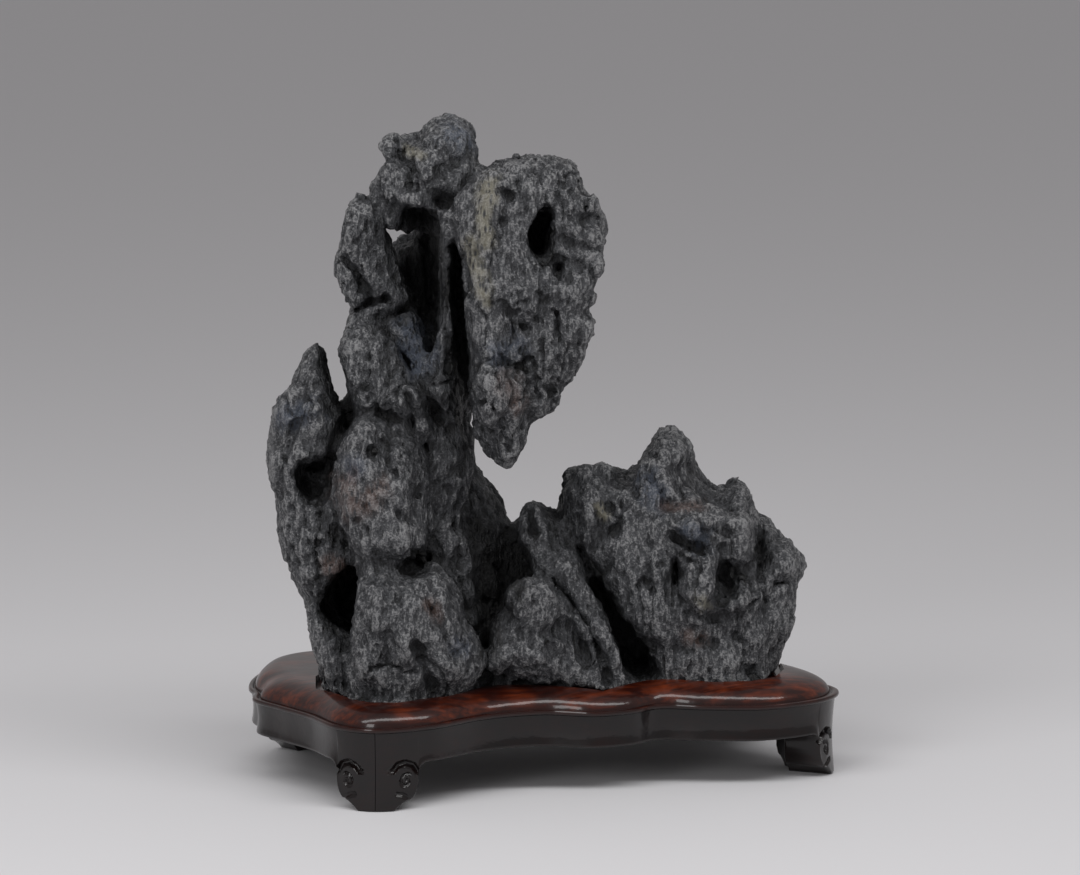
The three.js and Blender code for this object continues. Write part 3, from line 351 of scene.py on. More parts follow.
def seen(piece, chosen):
    """Which of the chosen vertices the camera sees, by a ray from each one to the eye."""
    pick(piece)
    tree = BVHTree.FromObject(piece, bpy.context.evaluated_depsgraph_get())
    places = points_of(piece)[chosen]
    rays = np.array(EYE) - places
    rays /= np.linalg.norm(rays, axis=1)[:, None]
    starts = places + rays * 1.2 * MM
    return np.array([tree.ray_cast(Vector(a), Vector(r), 0.6)[0] is None for a, r in zip(starts, rays)])


def gap_to_stroke(spots, stroke):
    """Distance of picture points to the nearest piece of a stroke."""
    nearest = np.full(len(spots), 1e9)
    for start, end in zip(stroke[:-1], stroke[1:]):
        start, run = np.array(start, float), np.subtract(end, start)
        share = np.clip((spots - start) @ run / (run @ run), 0, 1)
        nearest = np.minimum(nearest, np.linalg.norm(spots - start - share[:, None] * run, axis=1))
    return nearest


def carve(piece, groups):
    """Pushes the strokes into what the camera sees of a piece."""
    places = points_of(piece)
    spots = in_picture(places)
    ragged = waves(places, (5, 5, 7), 5) * 0.3
    push = np.zeros(len(places))
    for group in groups.values():
        for deep, half, stroke in group:
            gap = gap_to_stroke(spots, stroke) / half + ragged
            push += deep * np.clip(1 - gap ** 2, 0, 1)
    chosen = np.flatnonzero(np.abs(push) > 0.05)
    push[chosen] *= seen(piece, chosen)
    move_points(piece, places + push[:, None] * np.array(LOOK) * MM)
    return len(chosen)


FRONT_MM = 3200
LUMPS = {
    "edge of the lobe": [
        (514, 165, 7, 40), (546, 170, 5, 36), (568, 178, 7, 33), (586, 208, 8, 32), (592, 238, 7, 31),
        (590, 264, 8, 33), (584, 296, 6, 35), (580, 326, 8, 39), (568, 354, 7, 41), (549, 390, 7, 46),
        (534, 404, 6, 44),
    ],
    "crown and window": [
        (391, 149, 6, 52), (393, 217, 5.5, 50), (403, 220, 5, 84), (413, 221, 5, 85), (447, 204, 6, 48),
    ],
    "seam under the belly": [
        (372, 569, 6.5, 47), (384, 569, 6.5, 46), (395, 569, 6, 48),
    ],
    "pit of the flank": [
        (314, 486, 9, 76), (328, 492, 8, 70), (332, 474, 6, 66),
    ],
    "edge of the right mass": [
        (783, 566, 6, 108), (768, 546, 5, 114), (668, 436, 6, 112), (583, 476, 6, 94), (603, 476, 6, 96),
    ],
}


def add_lumps(piece, groups):
    """Joins round lumps to a piece. Each is a picture point, a radius in mm and a depth behind the front."""
    made = []
    for group in groups.values():
        for across, down, radius, depth in group:
            ray = LOOK + RIGHT * ((across - PICTURE_WIDTH / 2) / FOCUS_POINTS)
            ray -= UP * ((down - PICTURE_HEIGHT / 2) / FOCUS_POINTS)
            bpy.ops.object.select_all(action="DESELECT")
            middle = EYE + ray * (FRONT_MM + depth) * MM
            bpy.ops.mesh.primitive_ico_sphere_add(subdivisions=3, radius=radius * MM, location=middle)
            made.append(bpy.context.active_object)
    pick(piece)
    for lump in made:
        lump.select_set(True)
    bpy.ops.object.join()
    return len(made)


print("lumps joined:", add_lumps(stone, LUMPS))
finish_modifier(stone, "REMESH", mode="VOXEL", voxel_size=FIRST_NET_MM * MM, adaptivity=0)
finish_modifier(stone, "SMOOTH", factor=0.5, iterations=3)
print("vertices carved:", carve(stone, MARKS))
finish_modifier(stone, "REMESH", mode="VOXEL", voxel_size=NET_MM * MM, adaptivity=0)
print("stone net:", len(stone.data.vertices), "vertices")

# %% [markdown]
# Each layer of wear pushes the vertices in or out along their normals. The cells are bent by slow waves
# first, so that no pattern looks regular, and they are taller than wide, as the stone's grain stands
# upright.

# %% The worn surface


def wear(piece, layer):
    """Moves each vertex along its normal by what a layer gives for it, in mm."""
    places = points_of(piece)
    move_points(piece, places + normals_of(piece) * layer(places)[:, None] * MM)


def bent(points, size, depth, seed):
    """The same points, shifted by slow waves."""
    shift = np.stack([waves(points, (size, size, size), seed + axis) for axis in range(3)], axis=-1)
    return points + shift * depth * MM


def region(points, size, seed, low, high):
    """A strength between low and high that changes slowly over the stone."""
    share = np.clip(0.5 + waves(points, (size, size, size), seed) * 1.1, 0, 1)
    return low + (high - low) * share


def faces(points):
    first, _ = cells(bent(points, 30, 6, 11), (25, 25, 36), 15)
    return (first - 0.55) * 5


def knobs(points):
    first, _ = cells(bent(points, 18, 5, 31), (14, 14, 20), 35)
    return (0.5 - first) * 2.2 * region(points, 40, 38, 0.1, 1.6)


def scallops(points):
    first, _ = cells(bent(points, 12, 4, 41), (8, 8, 13), 45)
    return (first - 0.55) * 2.4 * region(points, 30, 48, 0.1, 1.3)


def fissures(points):
    slow = bent(points, 20, 5, 61)
    line = np.abs(waves(slow, (10, 10, 46), 65))
    return -2.8 * np.clip(1 - line / 0.1, 0, 1) * region(points, 34, 68, 0.1, 1.2)


def grain(points):
    slow = bent(points, 14, 3, 51)
    ridge = 1 - np.abs(waves(slow, (3.2, 3.2, 13), 55)) * 2.2
    return ridge * 0.9 * region(points, 26, 58, 0.3, 1.4)


def pits(points):
    first, luck = cells(bent(points, 6, 1.5, 71), (3.8, 3.8, 5), 75)
    pit = np.clip(1 - first / 0.55, 0, 1) ** 0.6
    return -1.8 * pit * (luck > 0.45) * region(points, 24, 78, 0.1, 1.3)


def crumbs(points):
    first, _ = cells(bent(points, 4, 1, 91), (2.7, 2.7, 3.3), 95)
    return (0.5 - first) * 1.1


for layer in (faces, knobs, scallops, fissures, grain, pits, crumbs):
    wear(stone, layer)

# %% [markdown]
# The wear can push a few points out of the solid's box, as under the foot that stands in the socket. They are
# drawn back to it, and the whole is thinned to the faces that its small forms need.

# %% The foot, and fewer faces
FACES = 190000
box_low, box_high = (np.array(corner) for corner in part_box("stone"))
places = np.clip(points_of(stone), box_low, box_high)
move_points(stone, places)
finish_modifier(stone, "DECIMATE", ratio=FACES / (2 * len(stone.data.vertices)))
pick(stone)
bpy.ops.object.shade_smooth()
print("stone faces:", len(stone.data.polygons))

# %% [markdown]
# The finish follows the form: crests are rubbed paler, and hollows that are closed in are painted dark as
# shade. So two
# values are stored for each vertex: how much it stands out from its neighbours, and how open it is to what
# lies around it.

# %% How open and how proud each point of the stone is


def average_over_edges(piece, values):
    """Each vertex's mean of its neighbours' values."""
    ends = np.zeros(len(piece.data.edges) * 2, np.int64)
    piece.data.edges.foreach_get("vertices", ends)
    first, second = ends.reshape(-1, 2).T
    total = np.zeros_like(values)
    np.add.at(total, first, values[second])
    np.add.at(total, second, values[first])
    count = np.bincount(np.concatenate([first, second]), minlength=len(values))
    return total / np.maximum(count, 1).reshape(-1, *[1] * (values.ndim - 1))


def openness(piece, rays, reach_mm):
    """The share of rays over each vertex that leave the stone."""
    tree = BVHTree.FromObject(piece, bpy.context.evaluated_depsgraph_get())
    places, normals = points_of(piece), normals_of(piece)
    random = np.random.default_rng(7)
    free = np.zeros(len(places))
    for _ in range(rays):
        ray = random.normal(size=places.shape)
        ray = ray / np.linalg.norm(ray, axis=1)[:, None] + normals * 1.02
        ray /= np.linalg.norm(ray, axis=1)[:, None]
        starts = places + normals * 0.8 * MM
        free += [tree.ray_cast(Vector(a), Vector(r), reach_mm * MM)[0] is None for a, r in zip(starts, ray)]
    return free / rays


def store(piece, name, values):
    """Keeps one number for each vertex under a name that a material can read."""
    attribute = piece.data.attributes.new(name, "FLOAT", "POINT")
    attribute.data.foreach_set("value", values.astype(np.float32))


places = points_of(stone)
proud = np.einsum("ij,ij->i", places - average_over_edges(stone, places), normals_of(stone)) / MM
proud = (proud + average_over_edges(stone, proud)) / 2
# How open each point is drives painted shade: the less open, the darker its colour
openness_for_painted_shade = openness(stone, 8, 60)
for _ in range(3):
    openness_for_painted_shade = (openness_for_painted_shade + average_over_edges(stone, openness_for_painted_shade)) / 2
store(stone, "proud", np.clip(0.5 + proud * 0.8, 0, 1))
store(stone, "open", openness_for_painted_shade)
print("open", round(float(openness_for_painted_shade.mean()), 2), "proud", round(float(np.abs(proud).mean()), 3))

# %% [markdown]
# A few stains are seen on the front: a tan vein down the lobe and rusty and slate blue patches. Painted
# shade, nearly black, goes into the recess and the cave. They are strokes as well, with soft ragged edges.

# %% Stains and painted shade
STAINS_AND_SHADE = {
    # Painted shade: a nearly black mark in the recess and in the cave
    "painted_hollow_shade": [
        (15, [(482, 530), (486, 560), (490, 595)]), (12, [(503, 545), (507, 580)]),
        (9, [(522, 560), (520, 590)]), (12, [(486, 600), (488, 650)]),
        (14, [(430, 240), (432, 280), (430, 305)]),
    ],
    "tan": [
        (9, [(490, 182), (484, 215), (486, 240)]), (8, [(470, 240), (474, 262), (482, 290)]),
        (5, [(484, 290), (486, 302)]), (5, [(408, 150), (420, 156)]), (7, [(700, 600), (706, 606)]),
        (5, [(598, 508), (604, 516)]),
    ],
    "rust": [
        (13, [(510, 384), (515, 402)]), (14, [(345, 482), (352, 505)]), (12, [(378, 490), (370, 500)]),
        (11, [(330, 566), (340, 570)]), (6, [(662, 505), (700, 506)]), (8, [(428, 606), (440, 614)]),
        (8, [(690, 634), (700, 640)]),
    ],
    "slate": [
        (14, [(286, 418), (306, 414)]), (16, [(412, 330), (420, 365)]), (12, [(350, 468), (356, 470)]),
        (14, [(498, 352), (510, 348)]), (14, [(452, 130), (466, 140)]), (12, [(650, 480), (656, 500)]),
        (12, [(690, 530), (700, 540)]), (10, [(458, 646), (464, 648)]),
    ],
}
spots = in_picture(places)
front = np.zeros(len(places))
facing = np.flatnonzero(normals_of(stone) @ np.array(LOOK) < 0.2)
front[facing] = seen(stone, facing)
for _ in range(2):
    front = (front + average_over_edges(stone, front)) / 2
for name, strokes in STAINS_AND_SHADE.items():
    amount = np.zeros(len(places))
    for half, stroke in strokes:
        gap = gap_to_stroke(spots, stroke) / half + waves(places, (4, 4, 6), 7) * 0.6
        amount = np.maximum(amount, np.clip(1.3 - gap, 0, 1))
    store(stone, name, amount * front)
    print(name, "on", int((amount * front > 0.1).sum()), "vertices")

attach(stone, "root")
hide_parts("stone")

# %% [markdown]
# ## The stand
# The stand is a carved hardwood board with four boards under it that end in scroll feet. Its plan is a row
# of lobes. The solid follows it with flat sides, which polished lacquer would show, so the same plan is
# drawn here as a smooth curve with many more. Each pair below is a point on the lip and one on the dome's
# crest.

# %% The plan's curves
PLAN_MM = [
    ((-127, -68), (-111, -54)), ((-112, -84), (-102, -67)), ((-82, -83), (-78, -65)),
    ((-46, -68), (-46, -50)), ((-16, -67), (-17, -47)), ((8, -80), (6, -58)),
    ((28, -79), (27, -58)), ((46, -72), (46, -52)), ((66, -82), (64, -58)),
    ((96, -92), (92, -68)), ((130, -84), (114, -63)), ((146, -66), (123, -50)),
    ((143, -38), (120, -30)), ((134, -14), (112, -10)), ((142, 8), (118, 5)),
    ((146, 34), (123, 28)), ((142, 62), (121, 48)), ((120, 84), (106, 62)),
    ((90, 84), (84, 60)), ((58, 74), (56, 52)), ((26, 80), (25, 56)),
    ((-2, 92), (-2, 68)), ((-34, 87), (-33, 64)), ((-62, 81), (-62, 62)),
    ((-94, 92), (-92, 75)), ((-118, 82), (-109, 69)), ((-132, 63), (-117, 56)),
    ((-141, 40), (-121, 40)), ((-142, 26), (-122, 24)), ((-147, 12), (-123, 8)),
    ((-141, -10), (-118, -10)), ((-133, -36), (-112, -32)),
]
CORNERS = (1, 11, 17, 24.3)
DOME_WIDTH = 26
LIP_UNDER, LIP_EDGE, CREST = 40.5, 43, 52.5
GAP = 0.3
SHARP_EDGE = math.radians(38)


def closed_curve(points, turns):
    """Places on the smooth closed curve through points, where turns runs once round from 0 to 1."""
    points = np.array(points, float)
    place = (np.asarray(turns) % 1) * len(points)
    index = np.floor(place).astype(int)
    share = (place - index)[:, None]
    p0, p1, p2, p3 = (points[(index + step) % len(points)] for step in (-1, 0, 1, 2))
    d0, d1, d2 = (np.sqrt(np.linalg.norm(b - a, axis=1))[:, None] for a, b in ((p0, p1), (p1, p2), (p2, p3)))
    start = ((p1 - p0) / d0 - (p2 - p0) / (d0 + d1) + (p2 - p1) / d1) * d1
    end = ((p2 - p1) / d1 - (p3 - p1) / (d1 + d2) + (p3 - p2) / d2) * d1
    square, cube = 3 * (p2 - p1) - 2 * start - end, 2 * (p1 - p2) + start + end
    return p1 + start * share + square * share ** 2 + cube * share ** 3


ALL_TURNS = np.linspace(0, 1, 1441)
lip_points = closed_curve([pair[0] for pair in PLAN_MM], ALL_TURNS)
lip_lengths = np.concatenate([[0], np.cumsum(np.linalg.norm(np.diff(lip_points, axis=0), axis=1))])


def on_stand(lengths, inward, heights):
    """Places on the stand in mm: a length along the lip, a way in from it and a height."""
    turns = np.interp(np.asarray(lengths) % lip_lengths[-1], lip_lengths, ALL_TURNS)
    lip = closed_curve([pair[0] for pair in PLAN_MM], turns)
    crest = closed_curve([pair[1] for pair in PLAN_MM], turns)
    plan = lip + (crest - lip) * (np.broadcast_to(inward, len(turns)) / DOME_WIDTH)[:, None]
    return np.column_stack([plan, np.broadcast_to(heights, len(turns))])


def loft(name, rings):
    """A piece through rings of points in mm, each ring a closed loop. The ends are capped."""
    size = len(rings[0])
    faces = []
    for ring in range(len(rings) - 1):
        for i in range(size):
            a, b = ring * size + i, ring * size + (i + 1) % size
            faces.append((a, b, b + size, a + size))
    last = (len(rings) - 1) * size
    faces += [tuple(range(size))[::-1], tuple(range(last, last + size))]
    piece = new_piece(name, np.concatenate(rings) * MM, faces)
    pick(piece)
    bpy.ops.object.mode_set(mode="EDIT")
    bpy.ops.mesh.select_all(action="SELECT")
    bpy.ops.mesh.normals_make_consistent(inside=False)
    bpy.ops.object.mode_set(mode="OBJECT")
    bpy.ops.object.shade_smooth_by_angle(angle=SHARP_EDGE)
    return piece


print("round the lip:", round(lip_lengths[-1]), "mm")

# %% [markdown]
# The top is one closed ring after another: up the rounded lip, down into the narrow groove inside it and up
# the dome, a quarter of an ellipse that ends at the flat crest.

# %% The top board
SIDES = 560
DOME_START, DOME_FOOT = 4.6, 42
profile = [
    (1.2, LIP_UNDER), (0.5, 40.7), (0.1, 41.1), (0, 41.7), (0.1, 42.3), (0.4, 42.8), (1, LIP_EDGE),
    (2.4, LIP_EDGE), (3, 42.7), (3.5, 42.1), (4, 41.9), (4.5, 42.1),
]
for degrees in range(6, 91, 6):
    angle = math.radians(degrees)
    inward = DOME_START + (DOME_WIDTH - DOME_START) * (1 - math.cos(angle))
    profile.append((inward, DOME_FOOT + (CREST - DOME_FOOT) * math.sin(angle)))
around = np.arange(SIDES) * lip_lengths[-1] / SIDES
top = loft("dark_top", [on_stand(around, inward, height) for inward, height in profile])
print("top faces:", len(top.data.polygons))

# %% [markdown]
# The stone stands in a shallow socket that was cut to its foot. The foot's outline, grown by the clearance,
# is a prism that is taken away from the top.

# %% The socket
FOOT_MM = [
    (-112, -20), (-111, -48), (-101, -60), (-92, -78), (-84, -85), (-70, -86), (-58, -77),
    (-46, -70), (-36, -58), (-27, -44), (-14, -40), (8, -42), (22, -47), (34, -50),
    (44, -40), (56, -28), (68, -25), (92, -31), (110, -29), (122, -20), (127, 0),
    (126, 24), (122, 42), (108, 53), (88, 52), (74, 43), (42, 38), (12, 49),
    (-15, 45), (-48, 38), (-54, 44), (-69, 52), (-85, 49), (-96, 38), (-101, 22),
]
STONE_TURN = math.radians(-19)
STONE_FORWARD = 8
SOCKET_CLEARANCE = 1.6
SOCKET_FLOOR = 48.7
CUTTER_TOP = 60
foot = np.array(FOOT_MM, float)
along = np.roll(foot, -1, axis=0) - np.roll(foot, 1, axis=0)
outward = np.column_stack([along[:, 1], -along[:, 0]]) / np.linalg.norm(along, axis=1)[:, None]
foot += outward * SOCKET_CLEARANCE
cosine, sine = math.cos(STONE_TURN), math.sin(STONE_TURN)
turned = (foot[:, 0] * cosine - foot[:, 1] * sine, foot[:, 0] * sine + foot[:, 1] * cosine - STONE_FORWARD)
foot = np.column_stack(turned)
ends = [np.column_stack([foot, np.full(len(foot), height)]) for height in (SOCKET_FLOOR, CUTTER_TOP)]
cutter = loft("socket cutter", ends)
finish_modifier(top, "BOOLEAN", object=cutter, operation="DIFFERENCE", solver="EXACT")
bpy.data.objects.remove(cutter)
pick(top)
bpy.ops.object.shade_smooth_by_angle(angle=SHARP_EDGE)
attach(top, "root")
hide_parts("stand_top")

# %% [markdown]
# Each board under the top ends in half a foot at both corners, where two boards meet in a mitre. The lower
# edge is a curve through a few points. The face is slightly hollow, and the scroll of each foot is cut into
# it: a deep crescent above the curl, a spiral in its eye and a nick above the toe.

# %% The four boards and their scroll feet
BOARD_TOP, BOARD_BOTTOM = LIP_UNDER - GAP, 24
BOARD_IN, BOARD_THICK, FOOT_THICK = 2, 9, 25
LOWER_EDGE = [
    (0, 0), (5, 0), (9.5, 0), (12, 2), (16, 4.5), (20, 6), (22.5, 9.5), (23.4, 14), (23.8, 19), (25.5, 22.5),
    (29, BOARD_BOTTOM),
]
EDGE_END = 29
FOOT_FULL, FOOT_GONE = 18, 40
ROWS = 72
HOLLOW_MM = 1.2
ROUNDING_MM = 1.3
EYE_AT, EYE_HIGH = 16.5, 15
spiral = []
for degrees in range(60, 481, 20):
    angle, reach = math.radians(degrees), 4.6 - 0.009 * degrees
    spiral.append((EYE_AT + reach * math.cos(angle), EYE_HIGH + reach * math.sin(angle)))
CARVING = [
    (3.2, 1.9, [(23, 19.5), (20.5, 22.8), (16, 24.4), (11.5, 23.4), (8.8, 20.4)]),
    (1.4, 1.0, spiral),
    (1.6, 1.3, [(18.5, 6.0), (14.5, 8.4), (11.5, 8.8)]),
]


def lower_edge(length_total):
    """Distances along a board and the height of its lower edge at each."""
    knots = np.array(LOWER_EDGE, float)
    ends = []
    for i in range(2, len(knots) - 1):
        p0, p1, p2 = knots[i - 1], knots[i], knots[i + 1]
        p3 = knots[min(i + 2, len(knots) - 1)]
        for share in np.arange(0, 1, 0.125):
            ends.append(0.5 * (2 * p1 + (p2 - p0) * share + (2 * p0 - 5 * p1 + 4 * p2 - p3) * share ** 2
                               + (3 * p1 - p0 - 3 * p2 + p3) * share ** 3))
    ends = [(GAP / 2, 0), (3, 0), (6, 0), (8, 0)] + [tuple(p) for p in ends] + [(EDGE_END, BOARD_BOTTOM)]
    steps = int((length_total - 2 * EDGE_END) / 1.8)
    middle = np.linspace(EDGE_END, length_total - EDGE_END, steps)[1:-1]
    right = [(length_total - d, z) for d, z in reversed(ends)]
    rows = np.array(ends + [(d, BOARD_BOTTOM) for d in middle] + right)
    rows[:, 1] = np.clip(rows[:, 1], 0, BOARD_BOTTOM)
    return rows


def board(name, start, end):
    """One board between two corners of the plan."""
    total = (end - start) % lip_lengths[-1]
    edge = lower_edge(total)
    to_end = np.minimum(edge[:, 0], total - edge[:, 0])
    fade = np.clip((to_end - FOOT_FULL) / (FOOT_GONE - FOOT_FULL), 0, 1)
    foot = 1 - fade ** 2 * (3 - 2 * fade)
    back = BOARD_IN + BOARD_THICK + (FOOT_THICK - BOARD_IN - BOARD_THICK) * foot
    columns = []
    for row in range(ROWS):
        share = row / (ROWS - 1)
        heights = BOARD_TOP + (edge[:, 1] - BOARD_TOP) * share
        hollow = HOLLOW_MM * math.sin(math.pi * share)
        above = np.minimum(heights - edge[:, 1], ROUNDING_MM)
        rounding = ROUNDING_MM - np.sqrt(np.maximum(ROUNDING_MM ** 2 - (ROUNDING_MM - above) ** 2, 0))
        cut = np.zeros(len(edge))
        for deep, half, stroke in CARVING:
            gap = gap_to_stroke(np.column_stack([to_end, heights]), stroke) / half
            cut = np.maximum(cut, deep * np.clip(1 - gap ** 2, 0, 1))
        columns.append(on_stand(start + edge[:, 0], BOARD_IN + hollow + rounding + cut, heights))
    for share in (1, 0.9, 0.5, 0):
        inset = back - (0.8 if share == 1 else 0)
        columns.append(on_stand(start + edge[:, 0], inset, BOARD_TOP + (edge[:, 1] - BOARD_TOP) * share))
    rings = np.stack(columns, axis=1)
    piece = loft(name, list(rings))
    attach(piece, "root")
    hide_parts(name.replace("board", "apron"))
    print(name, "length", round(total), "mm,", len(piece.data.polygons), "faces")
    return piece


corners = np.interp(np.array(CORNERS) / len(PLAN_MM), ALL_TURNS, lip_lengths)
boards = [board(f"board_{side}", corners[i], corners[(i + 1) % 4])
          for i, side in enumerate(("front", "right", "back", "left"))]

# %% [markdown]
# ## Colours
# Colours are picked as sRGB hex values, as on a screen. Blender's shaders work in linear light, so one
# function turns them.

# %% From hex to linear


def colour(hex_value):
    """A linear colour with alpha from an sRGB hex value."""
    channels = [int(hex_value[i:i + 2], 16) / 255 for i in (1, 3, 5)]
    linear = [c / 12.92 if c <= 0.04045 else ((c + 0.055) / 1.055) ** 2.4 for c in channels]
    return (*linear, 1)


def add_node(tree, kind, links=None, **settings):
    """Adds a node, sets its properties and input values, and links its inputs."""
    node = tree.nodes.new(kind)
    for name, value in settings.items():
        if hasattr(node, name):
            setattr(node, name, value)
        else:
            node.inputs[name].default_value = value
    for name, source in (links or {}).items():
        tree.links.new(source, node.inputs[name])
    return node


def per_metre(size_mm):
    """The scale of a pattern whose marks have this size in mm."""
    return 1 / (size_mm * MM)


def weighted_sum(tree, start, terms):
    """Adds up sources, each times its share, from a start value."""
    total = None
    for share, source in terms:
        step = add_node(tree, "ShaderNodeMath", {0: source}, operation="MULTIPLY_ADD")
        step.inputs[1].default_value = share
        if total:
            tree.links.new(total, step.inputs[2])
        else:
            step.inputs[2].default_value = start
        total = step.outputs[0]
    return total


def new_material(name):
    """An empty material and its node tree, with a Principled shader ready."""
    material = bpy.data.materials.new(name)
    material.use_nodes = True
    return material, material.node_tree, material.node_tree.nodes["Principled BSDF"]


# %% [markdown]
# ## Limestone
# A dark grey limestone, worn by water and rubbed by hand. Crests are pale and slightly waxy; closed-in
# hollows are painted nearly black as shade. Grains of about 1 mm and pits of about 2 mm are too fine for the
# net of faces, so they are drawn in the material.

# %% Limestone
GRAIN_MM = 1.1
STRIA_MM = 1.5
PIT_MM = 2.1
PATCH_MM = 24
limestone, tree, shader = new_material("water-worn limestone")
place = add_node(tree, "ShaderNodeTexCoord").outputs["Object"]
upright = add_node(tree, "ShaderNodeMapping", {"Vector": place})
upright.inputs["Scale"].default_value = (1, 1, 0.35)
upright = upright.outputs[0]
noise = "ShaderNodeTexNoise"
grains = add_node(tree, noise, {"Vector": place}, Scale=per_metre(GRAIN_MM), Detail=3, Roughness=0.7)
striae = add_node(tree, noise, {"Vector": upright}, Scale=per_metre(STRIA_MM), Detail=2, Distortion=0.6)
patches = add_node(tree, noise, {"Vector": place}, Scale=per_metre(PATCH_MM), Detail=4, Roughness=0.6)
pocks = add_node(tree, "ShaderNodeTexVoronoi", {"Vector": upright}, Scale=per_metre(PIT_MM))
grains, striae, patches = (pattern.outputs["Fac"] for pattern in (grains, striae, patches))
pocks = pocks.outputs["Distance"]
proud = add_node(tree, "ShaderNodeAttribute", attribute_name="proud").outputs["Fac"]
# Openness darkens the colour of closed-in hollows: painted shade
painted_shade_open = add_node(tree, "ShaderNodeAttribute", attribute_name="open").outputs["Fac"]

# Each pattern is stretched to the full range from 0 to 1, so that its marks are crisp
clear = []
for source, low, high in ((grains, 0.36, 0.66), (striae, 0.36, 0.64), (pocks, 0.16, 0.5)):
    stretch = add_node(tree, "ShaderNodeMapRange", {"Value": source})
    stretch.inputs["From Min"].default_value = low
    stretch.inputs["From Max"].default_value = high
    clear.append(stretch.outputs[0])
clear_grains, clear_striae, clear_pits = clear

# How pale the stone is: crests, open places, patches, grains and the rims of pits each add their share.
# Places
# that are closed in stay dark: painted shade.
level = weighted_sum(tree, -0.37, (
    (0.32, proud), (0.5, painted_shade_open), (0.3, clear_grains), (0.16, clear_striae), (0.2, clear_pits),
    (0.15, patches),
))
tones = add_node(tree, "ShaderNodeValToRGB", {"Fac": level})
ramp = tones.color_ramp
ramp.elements[0].position = 0.22
ramp.elements[0].color = colour("#09090a")
ramp.elements[1].position = 0.96
ramp.elements[1].color = colour("#858586")
for position, tone in ((0.42, "#1a1b1d"), (0.58, "#2c2d30"), (0.74, "#434447")):
    ramp.elements.new(position).color = colour(tone)

surface = tones.outputs["Color"]
# The last tone is painted shade, nearly black, for the recess and the cave; the others are stains
stain_and_shade_tones = (
    ("slate", "#4b5669", 0.35), ("rust", "#6a4a3a", 0.32), ("tan", "#8f8a76", 0.5), ("painted_hollow_shade", "#030304", 1.1),
)
for name, tone, strength in stain_and_shade_tones:
    stain_and_painted_light = add_node(tree, "ShaderNodeAttribute", attribute_name=name).outputs["Fac"]
    share = add_node(tree, "ShaderNodeMath", {0: stain_and_painted_light}, operation="MULTIPLY")
    share.inputs[1].default_value = strength
    rims = add_node(tree, "ShaderNodeMath", {0: share.outputs[0], 1: clear_pits}, operation="MULTIPLY")
    tinted = add_node(tree, "ShaderNodeMix", {6: surface, "Factor": rims.outputs[0]}, data_type="RGBA")
    tinted.inputs[7].default_value = colour(tone)
    surface = tinted.outputs[2]
tree.links.new(surface, shader.inputs["Base Color"])

rough = add_node(tree, "ShaderNodeMapRange", {"Value": grains})
rough.inputs["To Min"].default_value = 0.6
rough.inputs["To Max"].default_value = 0.35
tree.links.new(rough.outputs[0], shader.inputs["Roughness"])

relief = weighted_sum(tree, 0, ((0.22, clear_grains), (0.16, clear_striae), (0.3, clear_pits)))
bump = add_node(tree, "ShaderNodeBump", {"Height": relief}, Strength=1, Distance=1.8 * MM)
tree.links.new(bump.outputs["Normal"], shader.inputs["Normal"])
stone.data.materials.clear()
stone.data.materials.append(limestone)

# %% [markdown]
# ## Lacquered hardwood
# A dense dark hardwood, stained nearly black and polished with clear lacquer. On the lip and the dome the
# red-brown wood is painted lighter, as light falling on the top, in blotches and streaks. The lacquer gives
# sharp reflections over a duller ground.

# %% Lacquered hardwood
STREAK_MM = 3
BLOTCH_MM = 22
RIPPLE_MM = 9
lacquer, tree, shader = new_material("lacquered hardwood")
place = add_node(tree, "ShaderNodeTexCoord").outputs["Object"]
stretched = add_node(tree, "ShaderNodeMapping", {"Vector": place})
stretched.inputs["Scale"].default_value = (0.12, 1, 1)
stretched = stretched.outputs[0]
streaks = add_node(tree, noise, {"Vector": stretched}, Scale=per_metre(STREAK_MM), Detail=4, Roughness=0.6)
blotches = add_node(tree, noise, {"Vector": place}, Scale=per_metre(BLOTCH_MM), Detail=3, Roughness=0.6)
streaks, blotches = streaks.outputs["Fac"], blotches.outputs["Fac"]
height = add_node(tree, "ShaderNodeSeparateXYZ", {"Vector": place}).outputs["Z"]
# Painted light: from 40 mm up, the lip and dome turn a lighter red-brown where light falls on the top
painted_glow_height = add_node(tree, "ShaderNodeMapRange", {"Value": height})
for name, value in (("From Min", 40.0 * MM), ("From Max", 44.5 * MM), ("To Min", 0.12), ("To Max", 0.78)):
    painted_glow_height.inputs[name].default_value = value
painted_glow_blotches = add_node(tree, "ShaderNodeMath", {0: painted_glow_height.outputs[0], 1: blotches}, operation="MULTIPLY")
streaked = add_node(tree, "ShaderNodeMath", {0: painted_glow_blotches.outputs[0], 1: streaks}, operation="MULTIPLY")
stain_and_painted_light = add_node(tree, "ShaderNodeValToRGB", {"Fac": streaked.outputs[0]})
ramp = stain_and_painted_light.color_ramp
ramp.elements[0].position = 0.02
ramp.elements[0].color = colour("#0b0606")
ramp.elements[1].position = 0.36
ramp.elements[1].color = colour("#6b2c12")
ramp.elements.new(0.16).color = colour("#2b0d07")
tree.links.new(stain_and_painted_light.outputs["Color"], shader.inputs["Base Color"])
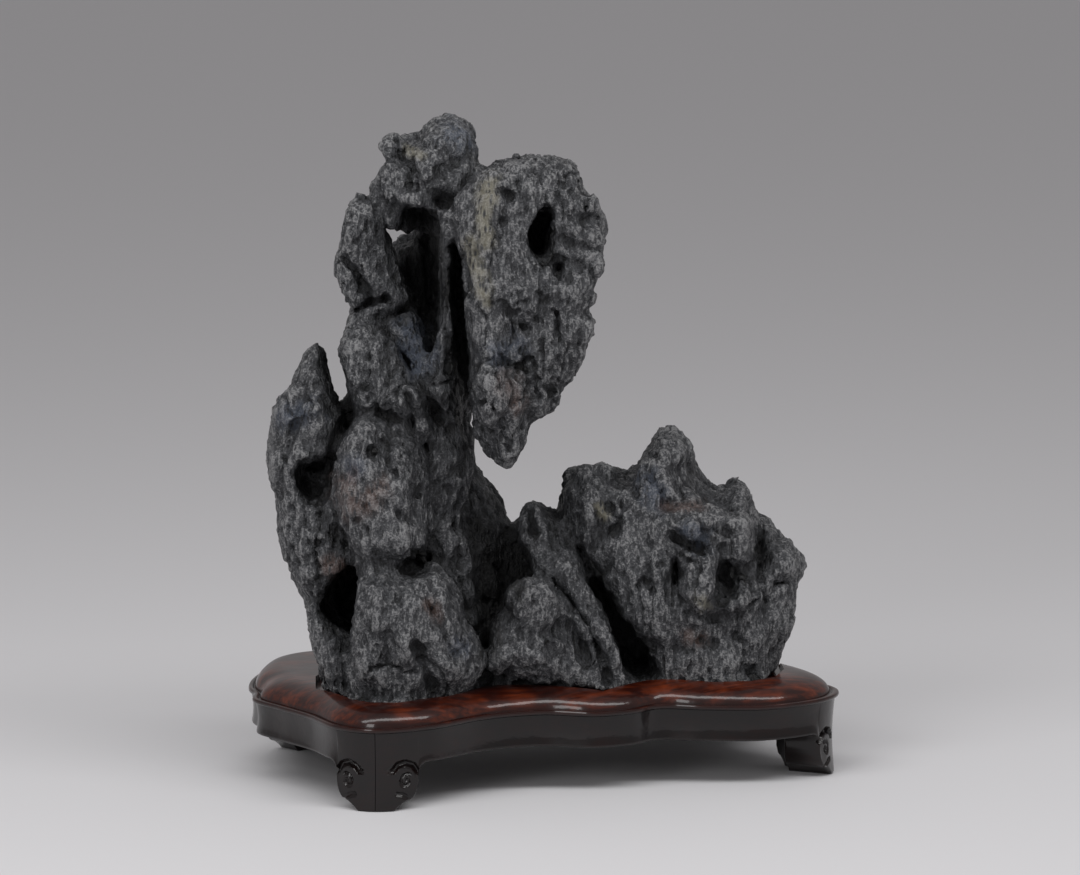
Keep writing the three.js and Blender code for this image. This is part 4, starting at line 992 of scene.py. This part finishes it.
shader.inputs["Roughness"].default_value = 0.3
shader.inputs["Specular IOR Level"].default_value = 0.2
shader.inputs["Coat Weight"].default_value = 0.55
shader.inputs["Coat Roughness"].default_value = 0.07
ripple = add_node(tree, "ShaderNodeTexNoise", {"Vector": place}, Scale=per_metre(RIPPLE_MM), Detail=3)
bump = add_node(tree, "ShaderNodeBump", {"Height": ripple.outputs["Fac"]}, Strength=0.45, Distance=0.5 * MM)
tree.links.new(bump.outputs["Normal"], shader.inputs["Normal"])
tree.links.new(bump.outputs["Normal"], shader.inputs["Coat Normal"])
for piece in (top, *boards):
    piece.data.materials.clear()
    piece.data.materials.append(lacquer)

# %% [markdown]
# ## Floor and light
# The floor is plain and pale. A long soft light hangs over the front, a small one stands at the front left,
# and a weak even light comes from all around, as in a studio with grey walls.

# %% The studio
bpy.ops.object.select_all(action="DESELECT")
bpy.ops.mesh.primitive_plane_add(size=40, location=(0, 0, 0))
floor = bpy.context.active_object
floor.name = "floor"
paper, tree, shader = new_material("grey paper")
shader.inputs["Base Color"].default_value = colour("#dcdbdd")
shader.inputs["Roughness"].default_value = 0.9
floor.data.materials.append(paper)


def soft_light(name, place, wide, deep, power, tint="#ffffff"):
    """A soft light with a flat panel that points at the middle of the stone."""
    data = bpy.data.lights.new(name, "AREA")
    data.shape = "RECTANGLE"
    data.size = wide
    data.size_y = deep
    data.energy = power
    data.color = colour(tint)[:3]
    light = bpy.data.objects.new(name, data)
    light.location = place
    aim = Vector((0, 0, 0.15)) - Vector(place)
    light.rotation_euler = aim.to_track_quat("-Z", "Y").to_euler()
    scene.collection.objects.link(light)


soft_light("overhead", (-0.2, -0.8, 1.4), 3.2, 0.4, 22)
soft_light("front left", (-1.6, -1.5, 0.9), 0.7, 0.7, 8)

world = bpy.data.worlds.new("studio")
world.use_nodes = True
around = world.node_tree.nodes["Background"]
around.inputs["Color"].default_value = colour("#dedcdd")
around.inputs["Strength"].default_value = 0.43
scene.world = world
scene.view_settings.view_transform = "Standard"
